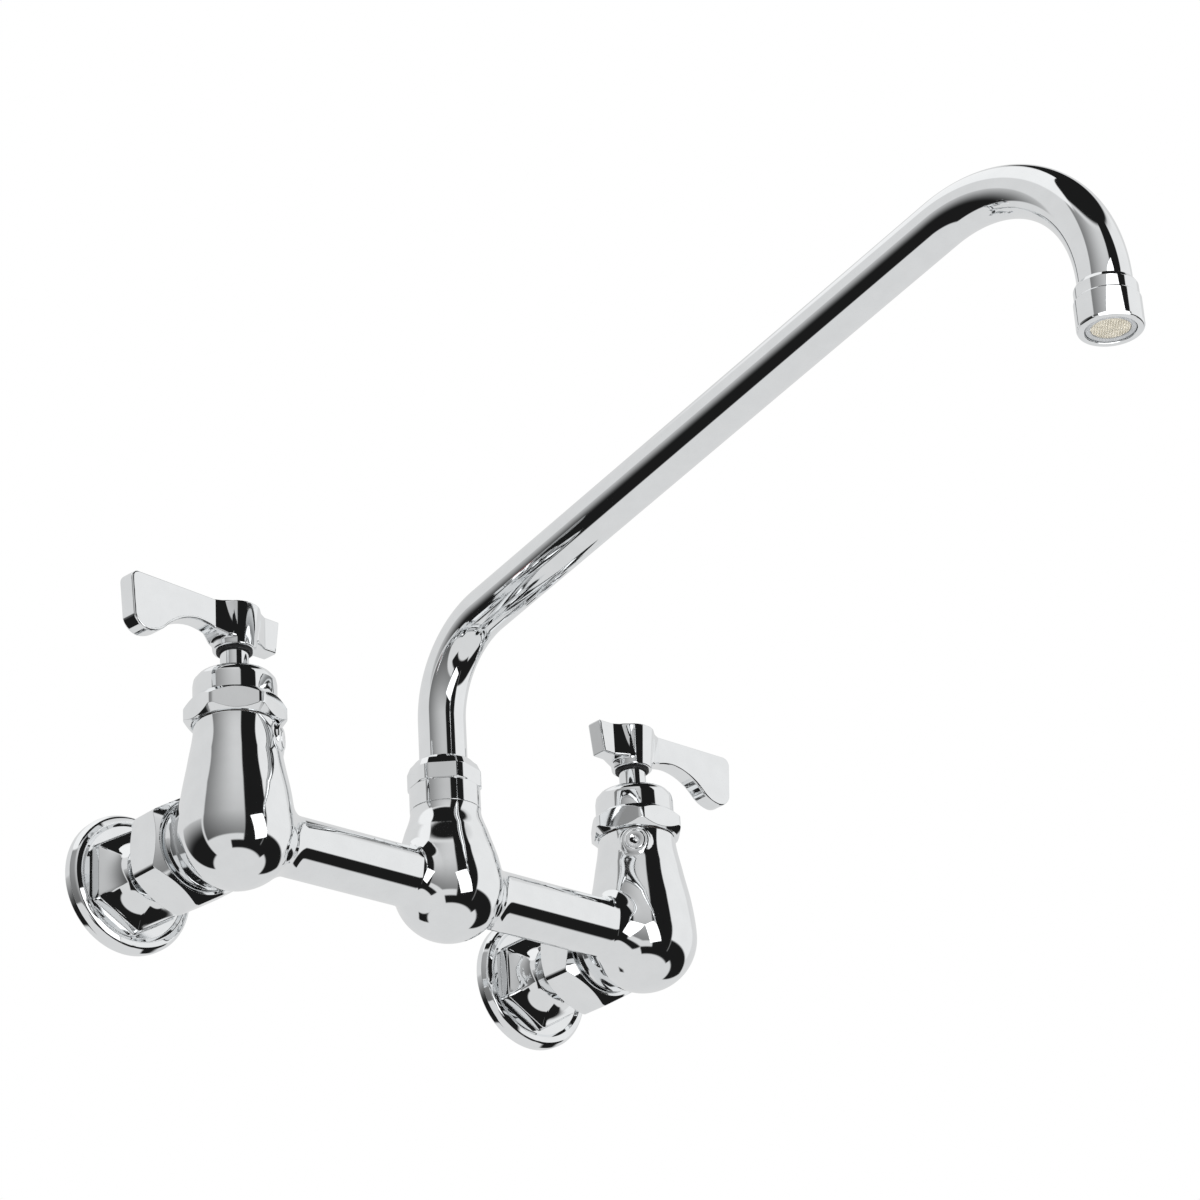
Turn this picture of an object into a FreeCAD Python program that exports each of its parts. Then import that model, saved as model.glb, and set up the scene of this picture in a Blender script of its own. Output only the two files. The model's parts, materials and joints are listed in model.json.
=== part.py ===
"""Wall-mounted mixing faucet with two lever handles and a rising swing spout.

Frame: millimetres. The origin lies on the wall, midway between the two inlets. +X runs along the
bridge bar, +Y goes into the wall, -Y is the front where the spout reaches, +Z is up.
Levels are heights above the axis of the bridge bar. Depths of the inlet pieces are distances from
the wall. Each turned piece is drawn as a radius against its level or depth, about its own Z axis.
"""
import FreeCAD, Part
import math
import os

import Sketcher

Vector = FreeCAD.Vector
FULL_TURN = 360.0
SIDES = (("left", -1), ("right", 1))

DIMENSIONS = {
    # layout
    "inlet_spacing": 203.2,
    "tower_setback": 72.0,
    "bar_drop": 2.0,
    "spout_reach": 355.6,
    # casting: bridge bar, rear arms and towers
    "bar_radius": 11.9,
    "arm_radius": 17.6,
    "arm_depth": 50.0,
    "tail_radius": 14.8,
    "tail_depth": 38.3,
    "ball_radius": 22.0,
    "centre_ball_radius": 21.7,
    "belly_level": 13.0,
    "belly_radius": 20.9,
    "waist_level": 28.0,
    "waist_radius": 18.1,
    "centre_belly_level": 10.0,
    "centre_belly_radius": 20.2,
    "centre_waist_level": 21.0,
    "centre_waist_radius": 16.9,
    "valve_neck_radius": 15.9,
    "centre_neck_radius": 13.9,
    "tower_top_level": 50.0,
    "seam_level": 42.6,
    "spout_seat_level": 31.5,
    "spout_thread_radius": 12.2,
    "spout_thread_level": 44.0,
    "tower_offset": 0.8,
    "bar_blend": 4.0,
    "boss_radius": 6.0,
    "boss_reach": 17.9,
    "boss_level": 36.3,
    "plug_radius": 4.4,
    "plug_reach": 18.5,
    "plug_floor": 14.6,
    # waterways
    "chamber_radius": 11.5,
    "chamber_floor": 12.0,
    "bonnet_thread_radius": 13.0,
    "bonnet_thread_floor": 30.0,
    "arm_bore_radius": 7.0,
    "seat_bore_radius": 4.5,
    "bar_bore_radius": 6.0,
    "riser_radius": 3.0,
    "centre_bore_radius": 8.0,
    "centre_bore_floor": -6.0,
    "socket_radius": 10.8,
    "socket_floor": 22.0,
    # wall flange
    "flange_radius": 28.0,
    "flange_rim_depth": 6.4,
    "flange_hex_flats": 36.4,
    "flange_hex_level": 8.6,
    "flange_hex_depth": 14.8,
    "flange_hex_slope": 43.0,
    "flange_neck_radius": 11.5,
    "flange_bore_radius": 7.5,
    "inlet_bore_radius": 9.9,
    "inlet_bore_depth": 15.0,
    "collar_radius": 13.8,
    "collar_back_depth": 33.3,
    "collar_front_depth": 36.3,
    # coupling nut
    "nut_flats": 40.0,
    "nut_corner": 22.7,
    "nut_back_depth": 31.0,
    "nut_front_depth": 49.2,
    "nut_thread_radius": 15.1,
    "nut_lip_radius": 11.8,
    # valve cartridge
    "seal_inner_radius": 7.4,
    "seal_outer_radius": 9.3,
    "disc_radius": 9.2,
    "fixed_disc_level": 13.6,
    "moving_disc_level": 16.6,
    "drive_level": 19.6,
    "drive_top_level": 24.2,
    "port_radius": 2.1,
    "port_offset": 4.8,
    "sleeve_radius": 11.3,
    "sleeve_inner_radius": 9.5,
    "sleeve_shoulder_level": 30.2,
    "sleeve_top_level": 36.0,
    "sleeve_neck_radius": 9.1,
    "spindle_radius": 5.0,
    "stem_radius": 5.52,
    "stem_level": 45.5,
    "stem_top_level": 76.0,
    "broach_radius": 4.4,
    "broach_top_level": 85.3,
    "oring_groove_radius": 4.2,
    # bonnet
    "bonnet_radius": 16.04,
    "bonnet_hex_flats": 34.9,
    "bonnet_hex_corner": 19.6,
    "bonnet_hex_level": 43.0,
    "bonnet_hex_top_level": 52.3,
    "bonnet_top_level": 63.4,
    "bonnet_edge_radius": 4.2,
    "bonnet_skirt_radius": 12.9,
    "bonnet_skirt_level": 30.4,
    "bonnet_bore_radius": 5.62,
    "bonnet_cavity_radius": 9.3,
    # handle
    "handle_level": 74.0,
    "handle_top_level": 91.3,
    "hub_bottom_radius": 8.3,
    "hub_top_radius": 10.2,
    "blade_length": 53.3,
    "blade_thickness": 7.6,
    "blade_blend": 8.0,
    "handle_socket_radius": 6.5,
    "handle_turn_left": 185.0,
    "screw_radius": 1.7,
    "screw_head_radius": 3.4,
    "index_radius": 6.3,
    # spout
    "tube_radius": 9.525,
    "tube_wall": 1.2,
    "tube_start_level": 33.2,
    "rise_level": 70.6,
    "rise_bend_radius": 38.0,
    "rise_angle": 11.2,
    "outlet_bend_radius": 58.1,
    "tube_end_level": 92.2,
    "shank_radius": 10.7,
    "shank_collar_radius": 11.7,
    "washer_level": 47.0,
    "washer_top_level": 48.2,
    "spout_nut_level": 31.6,
    "spout_nut_hex_level": 41.0,
    "spout_nut_top_level": 52.2,
    "spout_nut_radius": 14.0,
    "spout_nut_hex_corner": 14.6,
    "spout_nut_flats": 27.0,
    "spout_nut_mouth": 9.85,
    # aerator
    "aerator_radius": 11.6,
    "aerator_top_level": 99.8,
    "aerator_outlet_level": 82.4,
    "aerator_mouth_radius": 8.9,
    "aerator_bore_radius": 9.62,
    "insert_radius": 9.4,
    "screen_radius": 7.7,
}

doc = FreeCAD.newDocument("WallMixingFaucet")
sheet = doc.addObject("Spreadsheet::Sheet", "Dims")
for row, (alias, size) in enumerate(DIMENSIONS.items(), start=1):
    sheet.set(f"A{row}", alias)
    sheet.set(f"B{row}", str(size))
    sheet.setAlias(f"B{row}", alias)
doc.recompute()


class Dim:
    """A size that carries its number and the spreadsheet formula it comes from."""

    def __init__(self, number, formula):
        self.number = number
        self.formula = formula

    def combine(self, other, sign, number):
        return Dim(number, f"({self.formula} {sign} {dim(other).formula})")

    def __add__(self, other):
        return self.combine(other, "+", self.number + dim(other).number)

    def __sub__(self, other):
        return self.combine(other, "-", self.number - dim(other).number)

    def __mul__(self, other):
        return self.combine(other, "*", self.number * dim(other).number)

    def __truediv__(self, other):
        return self.combine(other, "/", self.number / dim(other).number)

    def __neg__(self):
        return Dim(-self.number, f"(-1 * {self.formula})")


def dim(size):
    """A Dim from a Dim or a plain number."""
    if isinstance(size, Dim):
        return size
    return Dim(float(size), f"{float(size):.9f}")


def sine(angle):
    return Dim(math.sin(math.radians(angle.number)), f"sin({angle.formula})")


def root(size):
    return Dim(math.sqrt(size.number), f"sqrt({size.formula})")


def cosine(angle):
    return Dim(math.cos(math.radians(angle.number)), f"cos({angle.formula})")


D = {alias: Dim(size, f"Dims.{alias}") for alias, size in DIMENSIONS.items()}
ZERO = dim(0)


def bind(thing, prop, size):
    """Ties a property to the spreadsheet, or sets it where the size is a plain number."""
    thing.setExpression(prop, dim(size).formula)


def place(thing, x=ZERO, y=ZERO, z=ZERO, axis=Vector(0, 0, 1), angle=0.0):
    """Turns a piece about an axis through its own origin and sets it at x, y, z."""
    thing.Placement = FreeCAD.Placement(Vector(0, 0, 0), FreeCAD.Rotation(axis, angle))
    for letter, size in (("x", x), ("y", y), ("z", z)):
        bind(thing, f".Placement.Base.{letter}", size)


# ---------------------------------------------------------------- sketches and bodies

def new_body(label):
    body = doc.addObject("PartDesign::Body", label)
    body.Label = label
    return body


def new_sketch(body, plane, level=ZERO):
    """A sketch on one of the body's own origin planes, moved along its normal by level."""
    sketch = body.newObject("Sketcher::SketchObject", body.Name + "_sketch")
    planes = [item for item in body.Origin.OriginFeatures if item.Role == plane]
    sketch.AttachmentSupport = [(planes[0], "")]
    sketch.MapMode = "FlatFace"
    bind(sketch, ".AttachmentOffset.Base.z", level)
    return sketch


def fix_point(sketch, geometry, point, x, y):
    """Holds one end of a line or arc, or a centre, at x, y of the sketch."""
    for kind, size in (("DistanceX", dim(x)), ("DistanceY", dim(y))):
        index = sketch.addConstraint(Sketcher.Constraint(kind, -1, 1, geometry, point, size.number))
        bind(sketch, f"Constraints[{index}]", size)


def draw_circle(sketch, radius, x=ZERO, y=ZERO):
    circle = Part.Circle(Vector(dim(x).number, dim(y).number, 0), Vector(0, 0, 1), dim(radius).number)
    geometry = sketch.addGeometry(circle, False)
    fix_point(sketch, geometry, 3, x, y)
    index = sketch.addConstraint(Sketcher.Constraint("Radius", geometry, dim(radius).number))
    bind(sketch, f"Constraints[{index}]", radius)


def arc_through(start, end, radius):
    """The minor arc between two points; a positive radius turns to the left."""
    chord = end - start
    half = chord.Length / 2
    size = abs(radius)
    side = math.copysign(1.0, radius)
    to_left = Vector(-chord.y, chord.x, 0).normalize() * side
    centre = start + chord / 2 + to_left * math.sqrt(size * size - half * half)
    outward = -to_left
    return Part.Arc(start, centre + outward * size, end)


def draw_path(sketch, points, closed=True):
    """Lines and arcs through points. A point is (x, y), or (x, y, radius) where an arc ends there;
    a positive radius turns to the left."""
    steps = list(points)
    ends = [Vector(dim(step[0]).number, dim(step[1]).number, 0) for step in steps]
    count = len(steps) if closed else len(steps) - 1
    first = None
    for index in range(count):
        target = (index + 1) % len(steps)
        start, end = ends[index], ends[target]
        radius = steps[target][2] if len(steps[target]) > 2 else None
        if radius is None:
            geometry = sketch.addGeometry(Part.LineSegment(start, end), False)
            head, tail = 1, 2
        else:
            geometry = sketch.addGeometry(arc_through(start, end, dim(radius).number), False)
            turns_left = dim(radius).number > 0
            head, tail = (1, 2) if turns_left else (2, 1)
            span = Dim(abs(dim(radius).number), f"abs({dim(radius).formula})")
            rule = sketch.addConstraint(Sketcher.Constraint("Radius", geometry, span.number))
            bind(sketch, f"Constraints[{rule}]", span)
        if first is None:
            first = (geometry, head)
            fix_point(sketch, geometry, head, steps[0][0], steps[0][1])
        else:
            sketch.addConstraint(Sketcher.Constraint("Coincident", last[0], last[1], geometry, head))
        last = (geometry, tail)
        if target == 0:
            sketch.addConstraint(Sketcher.Constraint("Coincident", geometry, tail, first[0], first[1]))
        else:
            fix_point(sketch, geometry, tail, steps[target][0], steps[target][1])


def revolve(body, profile, cut=False):
    """Turns a closed profile of (radius, level) about the body's Z axis."""
    sketch = new_sketch(body, "XZ_Plane")
    draw_path(sketch, profile)
    kind = "PartDesign::Groove" if cut else "PartDesign::Revolution"
    turned = body.newObject(kind, body.Name + "_turn")
    turned.Profile = sketch
    turned.ReferenceAxis = (sketch, ["V_Axis"])
    turned.Angle = FULL_TURN
    doc.recompute()
    return turned


def turned_piece(label, profile, x=ZERO, y=ZERO, z=ZERO, axis=Vector(0, 0, 1), angle=0.0):
    body = new_body(label)
    revolve(body, profile)
    place(body, x, y, z, axis, angle)
    return body


def ring_profile(inner, outer, low, high):
    return [(inner, low), (outer, low), (outer, high), (inner, high)]


def hexagon(flats, first_corner):
    """The corners of a hexagon of that size across its flats."""
    corner = dim(flats) / math.sqrt(3)
    angles = [math.radians(first_corner + 60 * step) for step in range(6)]
    return [(corner * math.cos(turn), corner * math.sin(turn)) for turn in angles]


def mill_hexagon(body, flats, first_corner, low, high, reach):
    """Cuts six flats on a turned ring between two levels."""
    sketch = new_sketch(body, "XY_Plane", low)
    draw_circle(sketch, reach)
    draw_path(sketch, hexagon(flats, first_corner))
    pocket = body.newObject("PartDesign::Pocket", body.Name + "_flats")
    pocket.Profile = sketch
    pocket.Reversed = True
    bind(pocket, "Length", dim(high) - low)
    doc.recompute()


def drill(body, radius, x, y, low, high):
    """A round hole along Z from one level up to another."""
    sketch = new_sketch(body, "XY_Plane", low)
    draw_circle(sketch, radius, x, y)
    pocket = body.newObject("PartDesign::Pocket", body.Name + "_hole")
    pocket.Profile = sketch
    pocket.Reversed = True
    bind(pocket, "Length", dim(high) - low)
    doc.recompute()


# ---------------------------------------------------------------- primitives and booleans

def cylinder(name, radius, length, x, y, z, axis=Vector(0, 0, 1), angle=0.0):
    rod = doc.addObject("Part::Cylinder", name)
    bind(rod, "Radius", radius)
    bind(rod, "Height", length)
    place(rod, x, y, z, axis, angle)
    return rod


def fuse(label, pieces):
    union = doc.addObject("Part::MultiFuse", label)
    union.Label = label
    union.Shapes = pieces
    doc.recompute()
    return union


def cut(label, base, tool):
    result = doc.addObject("Part::Cut", label)
    result.Label = label
    result.Base = base
    result.Tool = tool
    doc.recompute()
    return result


def fillet_edges(label, base, chosen):
    """Rounds the chosen edges, given as (edge number, radius)."""
    rounded = doc.addObject("Part::Fillet", label)
    rounded.Label = label
    rounded.Base = base
    rounded.Edges = [(number, radius, radius) for number, radius in chosen]
    doc.recompute()
    return rounded


def edges_where(shape, first, second):
    """Numbers of the edges between a face that passes the first test and one that passes the second."""
    numbers = []
    for number, edge in enumerate(shape.Edges, start=1):
        faces = shape.ancestorsOfType(edge, Part.Face)
        if len(faces) != 2:
            continue
        one, two = faces
        if (first(one) and second(two)) or (first(two) and second(one)):
            numbers.append(number)
    return numbers


def is_cylinder(radius):
    def test(face):
        return isinstance(face.Surface, Part.Cylinder) and abs(face.Surface.Radius - radius) < 1e-4
    return test


def is_turned_spline(face):
    return isinstance(face.Surface, Part.SurfaceOfRevolution)


# ---------------------------------------------------------------- shared places

HALF_SPACING = D["inlet_spacing"] / 2
TOWER_Y = -D["tower_setback"]
BAR_Z = -D["bar_drop"]
TOWARDS_FRONT = (Vector(1, 0, 0), 90.0)
TOWARDS_WALL = (Vector(1, 0, 0), -90.0)
ALONG_BAR = (Vector(0, 1, 0), 90.0)


def tower_x(side):
    return HALF_SPACING * side


def level_z(level):
    """Height in the model frame of a level measured above the bar's axis."""
    return BAR_Z + level


# ---------------------------------------------------------------- casting

def tower_body(name, x, girth, seam):
    """A bottle-shaped tower, turned from one smooth curve so that the bar and arm blend into it.
    girth lists (radius, level) from the ball's middle up to the seam. The tower is set a little to
    the front of its bore, so that the casting is thicker there."""
    ball = girth[0][0].number
    steps = 4
    points = []
    for step in range(steps):
        turn = math.radians(90.0 * step / steps)
        points.append(Vector(ball * math.sin(turn), 0, -ball * math.cos(turn)))
    points += [Vector(radius.number, 0, level.number) for radius, level in girth]
    points.append(Vector(points[-1].x, 0, seam.number + 4))
    outline = Part.BSplineCurve()
    flags = [True] + [False] * (len(points) - 2) + [True]
    tangents = [Vector(1, 0, 0)] + [Vector(0, 0, 1)] * (len(points) - 1)
    outline.interpolate(Points=points, Tangents=tangents, TangentFlags=flags)
    axis_top = Vector(0, 0, points[-1].z)
    profile = Part.Wire([outline.toShape(), Part.makeLine(points[-1], axis_top),
                         Part.makeLine(axis_top, points[0])])
    tower = doc.addObject("Part::Feature", name)
    tower.Shape = Part.Face(profile).revolve(Vector(0, 0, 0), Vector(0, 0, 1), FULL_TURN)
    place(tower, x, TOWER_Y - D["tower_offset"], BAR_Z)
    return tower


def faucet_casting():
    """Bridge bar, two valve towers with rear arms, and the spout tower, bored for the water."""
    bulk = []
    for name, side in SIDES:
        girth = [(D["ball_radius"], ZERO), (D["belly_radius"], D["belly_level"]),
                 (D["waist_radius"], D["waist_level"]), (D["valve_neck_radius"], D["seam_level"])]
        bulk.append(tower_body(f"valve_tower_{name}", tower_x(side), girth, D["seam_level"]))
        bulk.append(cylinder(f"arm_{name}", D["arm_radius"], D["tower_setback"] - D["arm_depth"],
                             tower_x(side), TOWER_Y, ZERO, *TOWARDS_WALL))
    centre_girth = [(D["centre_ball_radius"], ZERO), (D["centre_belly_radius"], D["centre_belly_level"]),
                    (D["centre_waist_radius"], D["centre_waist_level"]),
                    (D["centre_neck_radius"], D["spout_seat_level"])]
    bulk.append(tower_body("spout_tower", ZERO, centre_girth, D["spout_seat_level"]))
    bulk.append(cylinder("bridge_bar", D["bar_radius"], D["inlet_spacing"], -HALF_SPACING, TOWER_Y,
                         BAR_Z, *ALONG_BAR))
    rough = fuse("rough_casting", bulk)

    bar_edges = edges_where(rough.Shape, is_cylinder(D["bar_radius"].number), is_turned_spline)
    blended = fillet_edges("blended_casting", rough,
                           [(number, D["bar_blend"].number) for number in bar_edges])

    trim_height = D["tower_top_level"]
    trims = [cylinder(f"trim_{name}", D["arm_radius"] * 1.5, trim_height, tower_x(side), TOWER_Y,
                      level_z(D["seam_level"])) for name, side in SIDES]
    trims.append(cylinder("trim_centre", D["arm_radius"] * 1.5, trim_height, ZERO, TOWER_Y,
                          level_z(D["spout_seat_level"])))
    trimmed = cut("trimmed_casting", blended, fuse("trims", trims))

    details = [trimmed, cylinder("spout_thread", D["spout_thread_radius"],
                                 D["spout_thread_level"] - D["socket_floor"], ZERO, TOWER_Y,
                                 level_z(D["socket_floor"]))]
    holes = []
    for name, side in SIDES:
        x = tower_x(side)
        details.append(cylinder(f"tail_{name}", D["tail_radius"],
                                D["tower_setback"] - D["tail_depth"], x, TOWER_Y, ZERO, *TOWARDS_WALL))
        facing = plug_rotation(side)
        details.append(cylinder(f"boss_{name}", D["boss_radius"], D["boss_reach"], x, TOWER_Y,
                                level_z(D["boss_level"]), facing.Axis, math.degrees(facing.Angle)))
        holes += valve_bores(name, side)
    holes += [
        cylinder("bar_bore", D["bar_bore_radius"], (HALF_SPACING - 9) * 2, -(HALF_SPACING - 9),
                 TOWER_Y, BAR_Z, *ALONG_BAR),
        cylinder("centre_bore", D["centre_bore_radius"], D["socket_floor"] - D["centre_bore_floor"] + 1,
                 ZERO, TOWER_Y, level_z(D["centre_bore_floor"])),
        cylinder("socket_bore", D["socket_radius"], D["tower_top_level"], ZERO, TOWER_Y,
                 level_z(D["socket_floor"])),
    ]
    return cut("faucet_body", fuse("detailed_casting", details), fuse("waterways", holes))


def valve_bores(name, side):
    """Bonnet thread, cartridge chamber, seat, arm bore, riser to the bar bore, and plug hole."""
    x = tower_x(side)
    riser_x = tower_x(side) - dim(7.5) * side
    facing = plug_rotation(side)
    return [
        cylinder(f"bonnet_bore_{name}", D["bonnet_thread_radius"], D["tower_top_level"], x, TOWER_Y,
                 level_z(D["bonnet_thread_floor"])),
        cylinder(f"chamber_{name}", D["chamber_radius"], D["tower_top_level"], x, TOWER_Y,
                 level_z(D["chamber_floor"])),
        cylinder(f"seat_bore_{name}", D["seat_bore_radius"], D["chamber_floor"], x, TOWER_Y, ZERO),
        cylinder(f"arm_bore_{name}", D["arm_bore_radius"], D["tower_setback"], x, TOWER_Y + 2, ZERO,
                 *TOWARDS_WALL),
        cylinder(f"riser_{name}", D["riser_radius"], D["chamber_floor"] + 1, riser_x, TOWER_Y - 4.5,
                 BAR_Z),
        cylinder_beyond(f"plug_hole_{name}", D["plug_radius"] + 0.1, D["plug_floor"], x, facing),
    ]


def plug_rotation(side):
    """Turns +Z to the level direction that faces the front and the spout at 45 degrees."""
    inward = Vector(-side, -1, 0)
    return FreeCAD.Rotation(Vector(0, 0, 1), inward)


def cylinder_beyond(name, radius, start, x, facing):
    """A horizontal cylinder at the plug's level that starts at a distance from the tower's axis."""
    direction = facing.multVec(Vector(0, 0, 1))
    return cylinder(name, radius, D["boss_reach"], x + start * direction.x,
                    TOWER_Y + start * direction.y, level_z(D["boss_level"]), facing.Axis,
                    math.degrees(facing.Angle))


def boss_plug(name, side):
    """A round plug with a rounded face, pressed into the boss on a valve tower."""
    radius = D["plug_radius"]
    start = D["plug_floor"]
    length = D["plug_reach"] - start
    edge = dim(0.7)
    facing = plug_rotation(side)
    direction = facing.multVec(Vector(0, 0, 1))
    profile = [(ZERO, ZERO), (radius, ZERO), (radius, length - edge), (radius - edge, length, edge),
               (ZERO, length)]
    turned_piece(f"boss_plug_{name}", profile, tower_x(side) + start * direction.x,
                 TOWER_Y + start * direction.y, level_z(D["boss_level"]), facing.Axis,
                 math.degrees(facing.Angle))


# ---------------------------------------------------------------- wall connections

def wall_flange(name, side):
    """Dished cover flange with a tapped inlet, and a hexagon that slopes in to a collared neck."""
    rim = D["flange_radius"]
    depth = D["flange_rim_depth"]
    dish = depth - 0.7
    neck = D["flange_neck_radius"]
    collar = D["collar_radius"]
    front = D["collar_front_depth"]
    profile = [
        (ZERO, ZERO),
        (rim - 0.8, ZERO),
        (rim, dim(0.8), 0.8),
        (rim, depth - 4.6),
        (rim - 4.6, depth, 4.6),
        (rim - 6.2, dish, -2.6),
        (neck, dish),
        (neck, D["collar_back_depth"]),
        (collar, D["collar_back_depth"]),
        (collar, front - 0.4),
        (collar - 0.4, front),
        (ZERO, front),
    ]
    body = new_body(f"wall_flange_{name}")
    revolve(body, profile)
    hexagon_boss(body, D["flange_hex_flats"], dish - 0.5, D["flange_hex_level"], ZERO)
    hexagon_boss(body, D["flange_hex_flats"], D["flange_hex_level"], D["flange_hex_depth"],
                 -D["flange_hex_slope"])
    revolve(body, [(ZERO, ZERO), (D["inlet_bore_radius"], ZERO),
                   (D["inlet_bore_radius"], D["inlet_bore_depth"]),
                   (D["flange_bore_radius"], D["inlet_bore_depth"]), (D["flange_bore_radius"], front),
                   (ZERO, front)], cut=True)
    place(body, tower_x(side), ZERO, ZERO, *TOWARDS_FRONT)


def hexagon_boss(body, flats, low, high, slope):
    """A hexagon with two corners upright, raised between two levels; a negative slope narrows it."""
    sketch = new_sketch(body, "XY_Plane", low)
    draw_path(sketch, hexagon(flats, 30.0))
    boss = body.newObject("PartDesign::Pad", body.Name + "_hexagon")
    boss.Profile = sketch
    bind(boss, "Length", high - low)
    bind(boss, "TaperAngle", slope)
    doc.recompute()


def coupling_nut(name, side):
    """Hexagon nut held by the flange's collar and screwed on the arm's threaded tail."""
    back = D["nut_back_depth"]
    front = D["nut_front_depth"]
    corner = D["nut_corner"]
    flat = D["nut_flats"] / 2
    chamfer = (corner - flat + 0.6) * 0.6
    lip = D["nut_lip_radius"]
    thread = D["nut_thread_radius"]
    profile = [
        (lip, back),
        (flat - 0.6, back),
        (corner, back + chamfer),
        (corner, front - chamfer),
        (flat - 0.6, front),
        (thread + 0.6, front),
        (thread, front - 0.6),
        (thread, D["collar_back_depth"]),
        (lip, D["collar_back_depth"]),
    ]
    body = new_body(f"coupling_nut_{name}")
    revolve(body, profile)
    mill_hexagon(body, D["nut_flats"], 30.0, back, front, corner + 2)
    place(body, tower_x(side), ZERO, ZERO, *TOWARDS_FRONT)


def inlet_washer(name, side):
    """Flat sealing washer between the flange's collar and the arm's tail."""
    profile = ring_profile(D["flange_bore_radius"] + 0.5, D["collar_radius"] - 0.3,
                           D["collar_front_depth"], D["tail_depth"])
    turned_piece(f"inlet_washer_{name}", profile, tower_x(side), ZERO, ZERO, *TOWARDS_FRONT)


# ---------------------------------------------------------------- valves

def valve_piece(label, side, profile):
    return turned_piece(label, profile, tower_x(side), TOWER_Y, BAR_Z)


def ceramic_disc(label, side, low, high, port_angle):
    """A ceramic disc with two round ports on opposite sides."""
    body = valve_piece(label, side, [(ZERO, low), (D["disc_radius"], low), (D["disc_radius"], high),
                                     (ZERO, high)])
    turn = math.radians(port_angle)
    for sign in (-1, 1):
        offset = D["port_offset"] * sign
        drill(body, D["port_radius"], offset * math.cos(turn), offset * math.sin(turn), low, high)


def cartridge_sleeve(name, side):
    """Brass sleeve around the discs, with two windows where the mixed flow leaves."""
    inner = D["sleeve_inner_radius"]
    outer = D["sleeve_radius"]
    floor = D["chamber_floor"]
    ceiling = D["drive_top_level"] + 0.3
    neck = D["sleeve_neck_radius"]
    bore = D["spindle_radius"] + 0.1
    profile = [
        (inner, floor),
        (outer, floor),
        (outer, D["sleeve_shoulder_level"]),
        (neck, D["sleeve_shoulder_level"]),
        (neck, D["sleeve_top_level"]),
        (bore, D["sleeve_top_level"]),
        (bore, ceiling),
        (inner, ceiling),
    ]
    body = new_body(f"cartridge_sleeve_{name}")
    revolve(body, profile)
    sketch = new_sketch(body, "YZ_Plane")
    draw_path(sketch, [(-3.5, D["moving_disc_level"]), (3.5, D["moving_disc_level"]),
                       (3.5, D["drive_top_level"]), (-3.5, D["drive_top_level"])])
    window = body.newObject("PartDesign::Pocket", body.Name + "_windows")
    window.Profile = sketch
    window.Midplane = True
    bind(window, "Length", outer * 2.5)
    doc.recompute()
    place(body, tower_x(side), TOWER_Y, BAR_Z)


def spindle(name, side):
    """Valve spindle: drive flange, shaft with a clip groove, polished stem and serrated top."""
    shaft = D["spindle_radius"]
    stem = D["stem_radius"]
    groove = D["oring_groove_radius"]
    clip = D["sleeve_top_level"] + 0.2
    broach = D["broach_radius"]
    top = D["broach_top_level"]
    profile = [
        (ZERO, D["drive_level"]),
        (D["disc_radius"], D["drive_level"]),
        (D["disc_radius"], D["drive_top_level"]),
        (shaft, D["drive_top_level"]),
        (shaft, clip),
        (shaft - 0.6, clip),
        (shaft - 0.6, clip + 1.0),
        (shaft, clip + 1.0),
        (shaft, D["stem_level"]),
        (stem, D["stem_level"]),
        (stem, D["stem_level"] + 6),
        (groove, D["stem_level"] + 6),
        (groove, D["stem_level"] + 7.6),
        (stem, D["stem_level"] + 7.6),
        (stem, D["stem_top_level"] - 0.4),
        (stem - 0.4, D["stem_top_level"]),
        (broach, D["stem_top_level"]),
        (broach, top - 0.4),
        (broach - 0.4, top),
        (ZERO, top),
    ]
    body = valve_piece(f"spindle_{name}", side, profile)
    drill(body, D["screw_radius"] + 0.05, ZERO, ZERO, D["stem_top_level"] + 0.5, top)


def spindle_oring(name, side):
    ring = doc.addObject("Part::Torus", f"spindle_oring_{name}")
    ring.Label = f"spindle_oring_{name}"
    gap = D["bonnet_bore_radius"] - D["oring_groove_radius"]
    bind(ring, "Radius2", gap / 2 - 0.03)
    bind(ring, "Radius1", D["oring_groove_radius"] + gap / 2)
    place(ring, tower_x(side), TOWER_Y, level_z(D["stem_level"] + 6.8))


def spindle_clip(name, side):
    """Snap ring in the spindle's groove, above the sleeve."""
    low = D["sleeve_top_level"] + 0.3
    shaft = D["spindle_radius"]
    profile = ring_profile(shaft - 0.6, shaft + 2.0, low, low + 0.8)
    valve_piece(f"spindle_clip_{name}", side, profile)


def valve_bonnet(name, side, first_corner):
    """Chromed bonnet: threaded skirt, chamfered hexagon and a round cap with a rounded edge."""
    cap = D["bonnet_radius"]
    edge = D["bonnet_edge_radius"]
    top = D["bonnet_top_level"]
    corner = D["bonnet_hex_corner"]
    low = D["bonnet_hex_level"]
    high = D["bonnet_hex_top_level"]
    skirt = D["bonnet_skirt_radius"]
    bore = D["bonnet_bore_radius"]
    cavity = D["bonnet_cavity_radius"]
    ceiling = D["sleeve_top_level"] + 3
    profile = [
        (cavity, D["bonnet_skirt_level"]),
        (skirt, D["bonnet_skirt_level"]),
        (skirt, low),
        (cap + 0.9, low),
        (corner, low + 1.5),
        (corner, high - 2.1),
        (cap, high),
        (cap, top - edge),
        (cap - edge, top, edge),
        (bore + 0.5, top),
        (bore, top - 0.5),
        (bore, ceiling),
        (cavity, ceiling),
    ]
    body = new_body(f"valve_bonnet_{name}")
    revolve(body, profile)
    mill_hexagon(body, D["bonnet_hex_flats"], first_corner, low, high, corner + 2)
    place(body, tower_x(side), TOWER_Y, BAR_Z)


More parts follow.
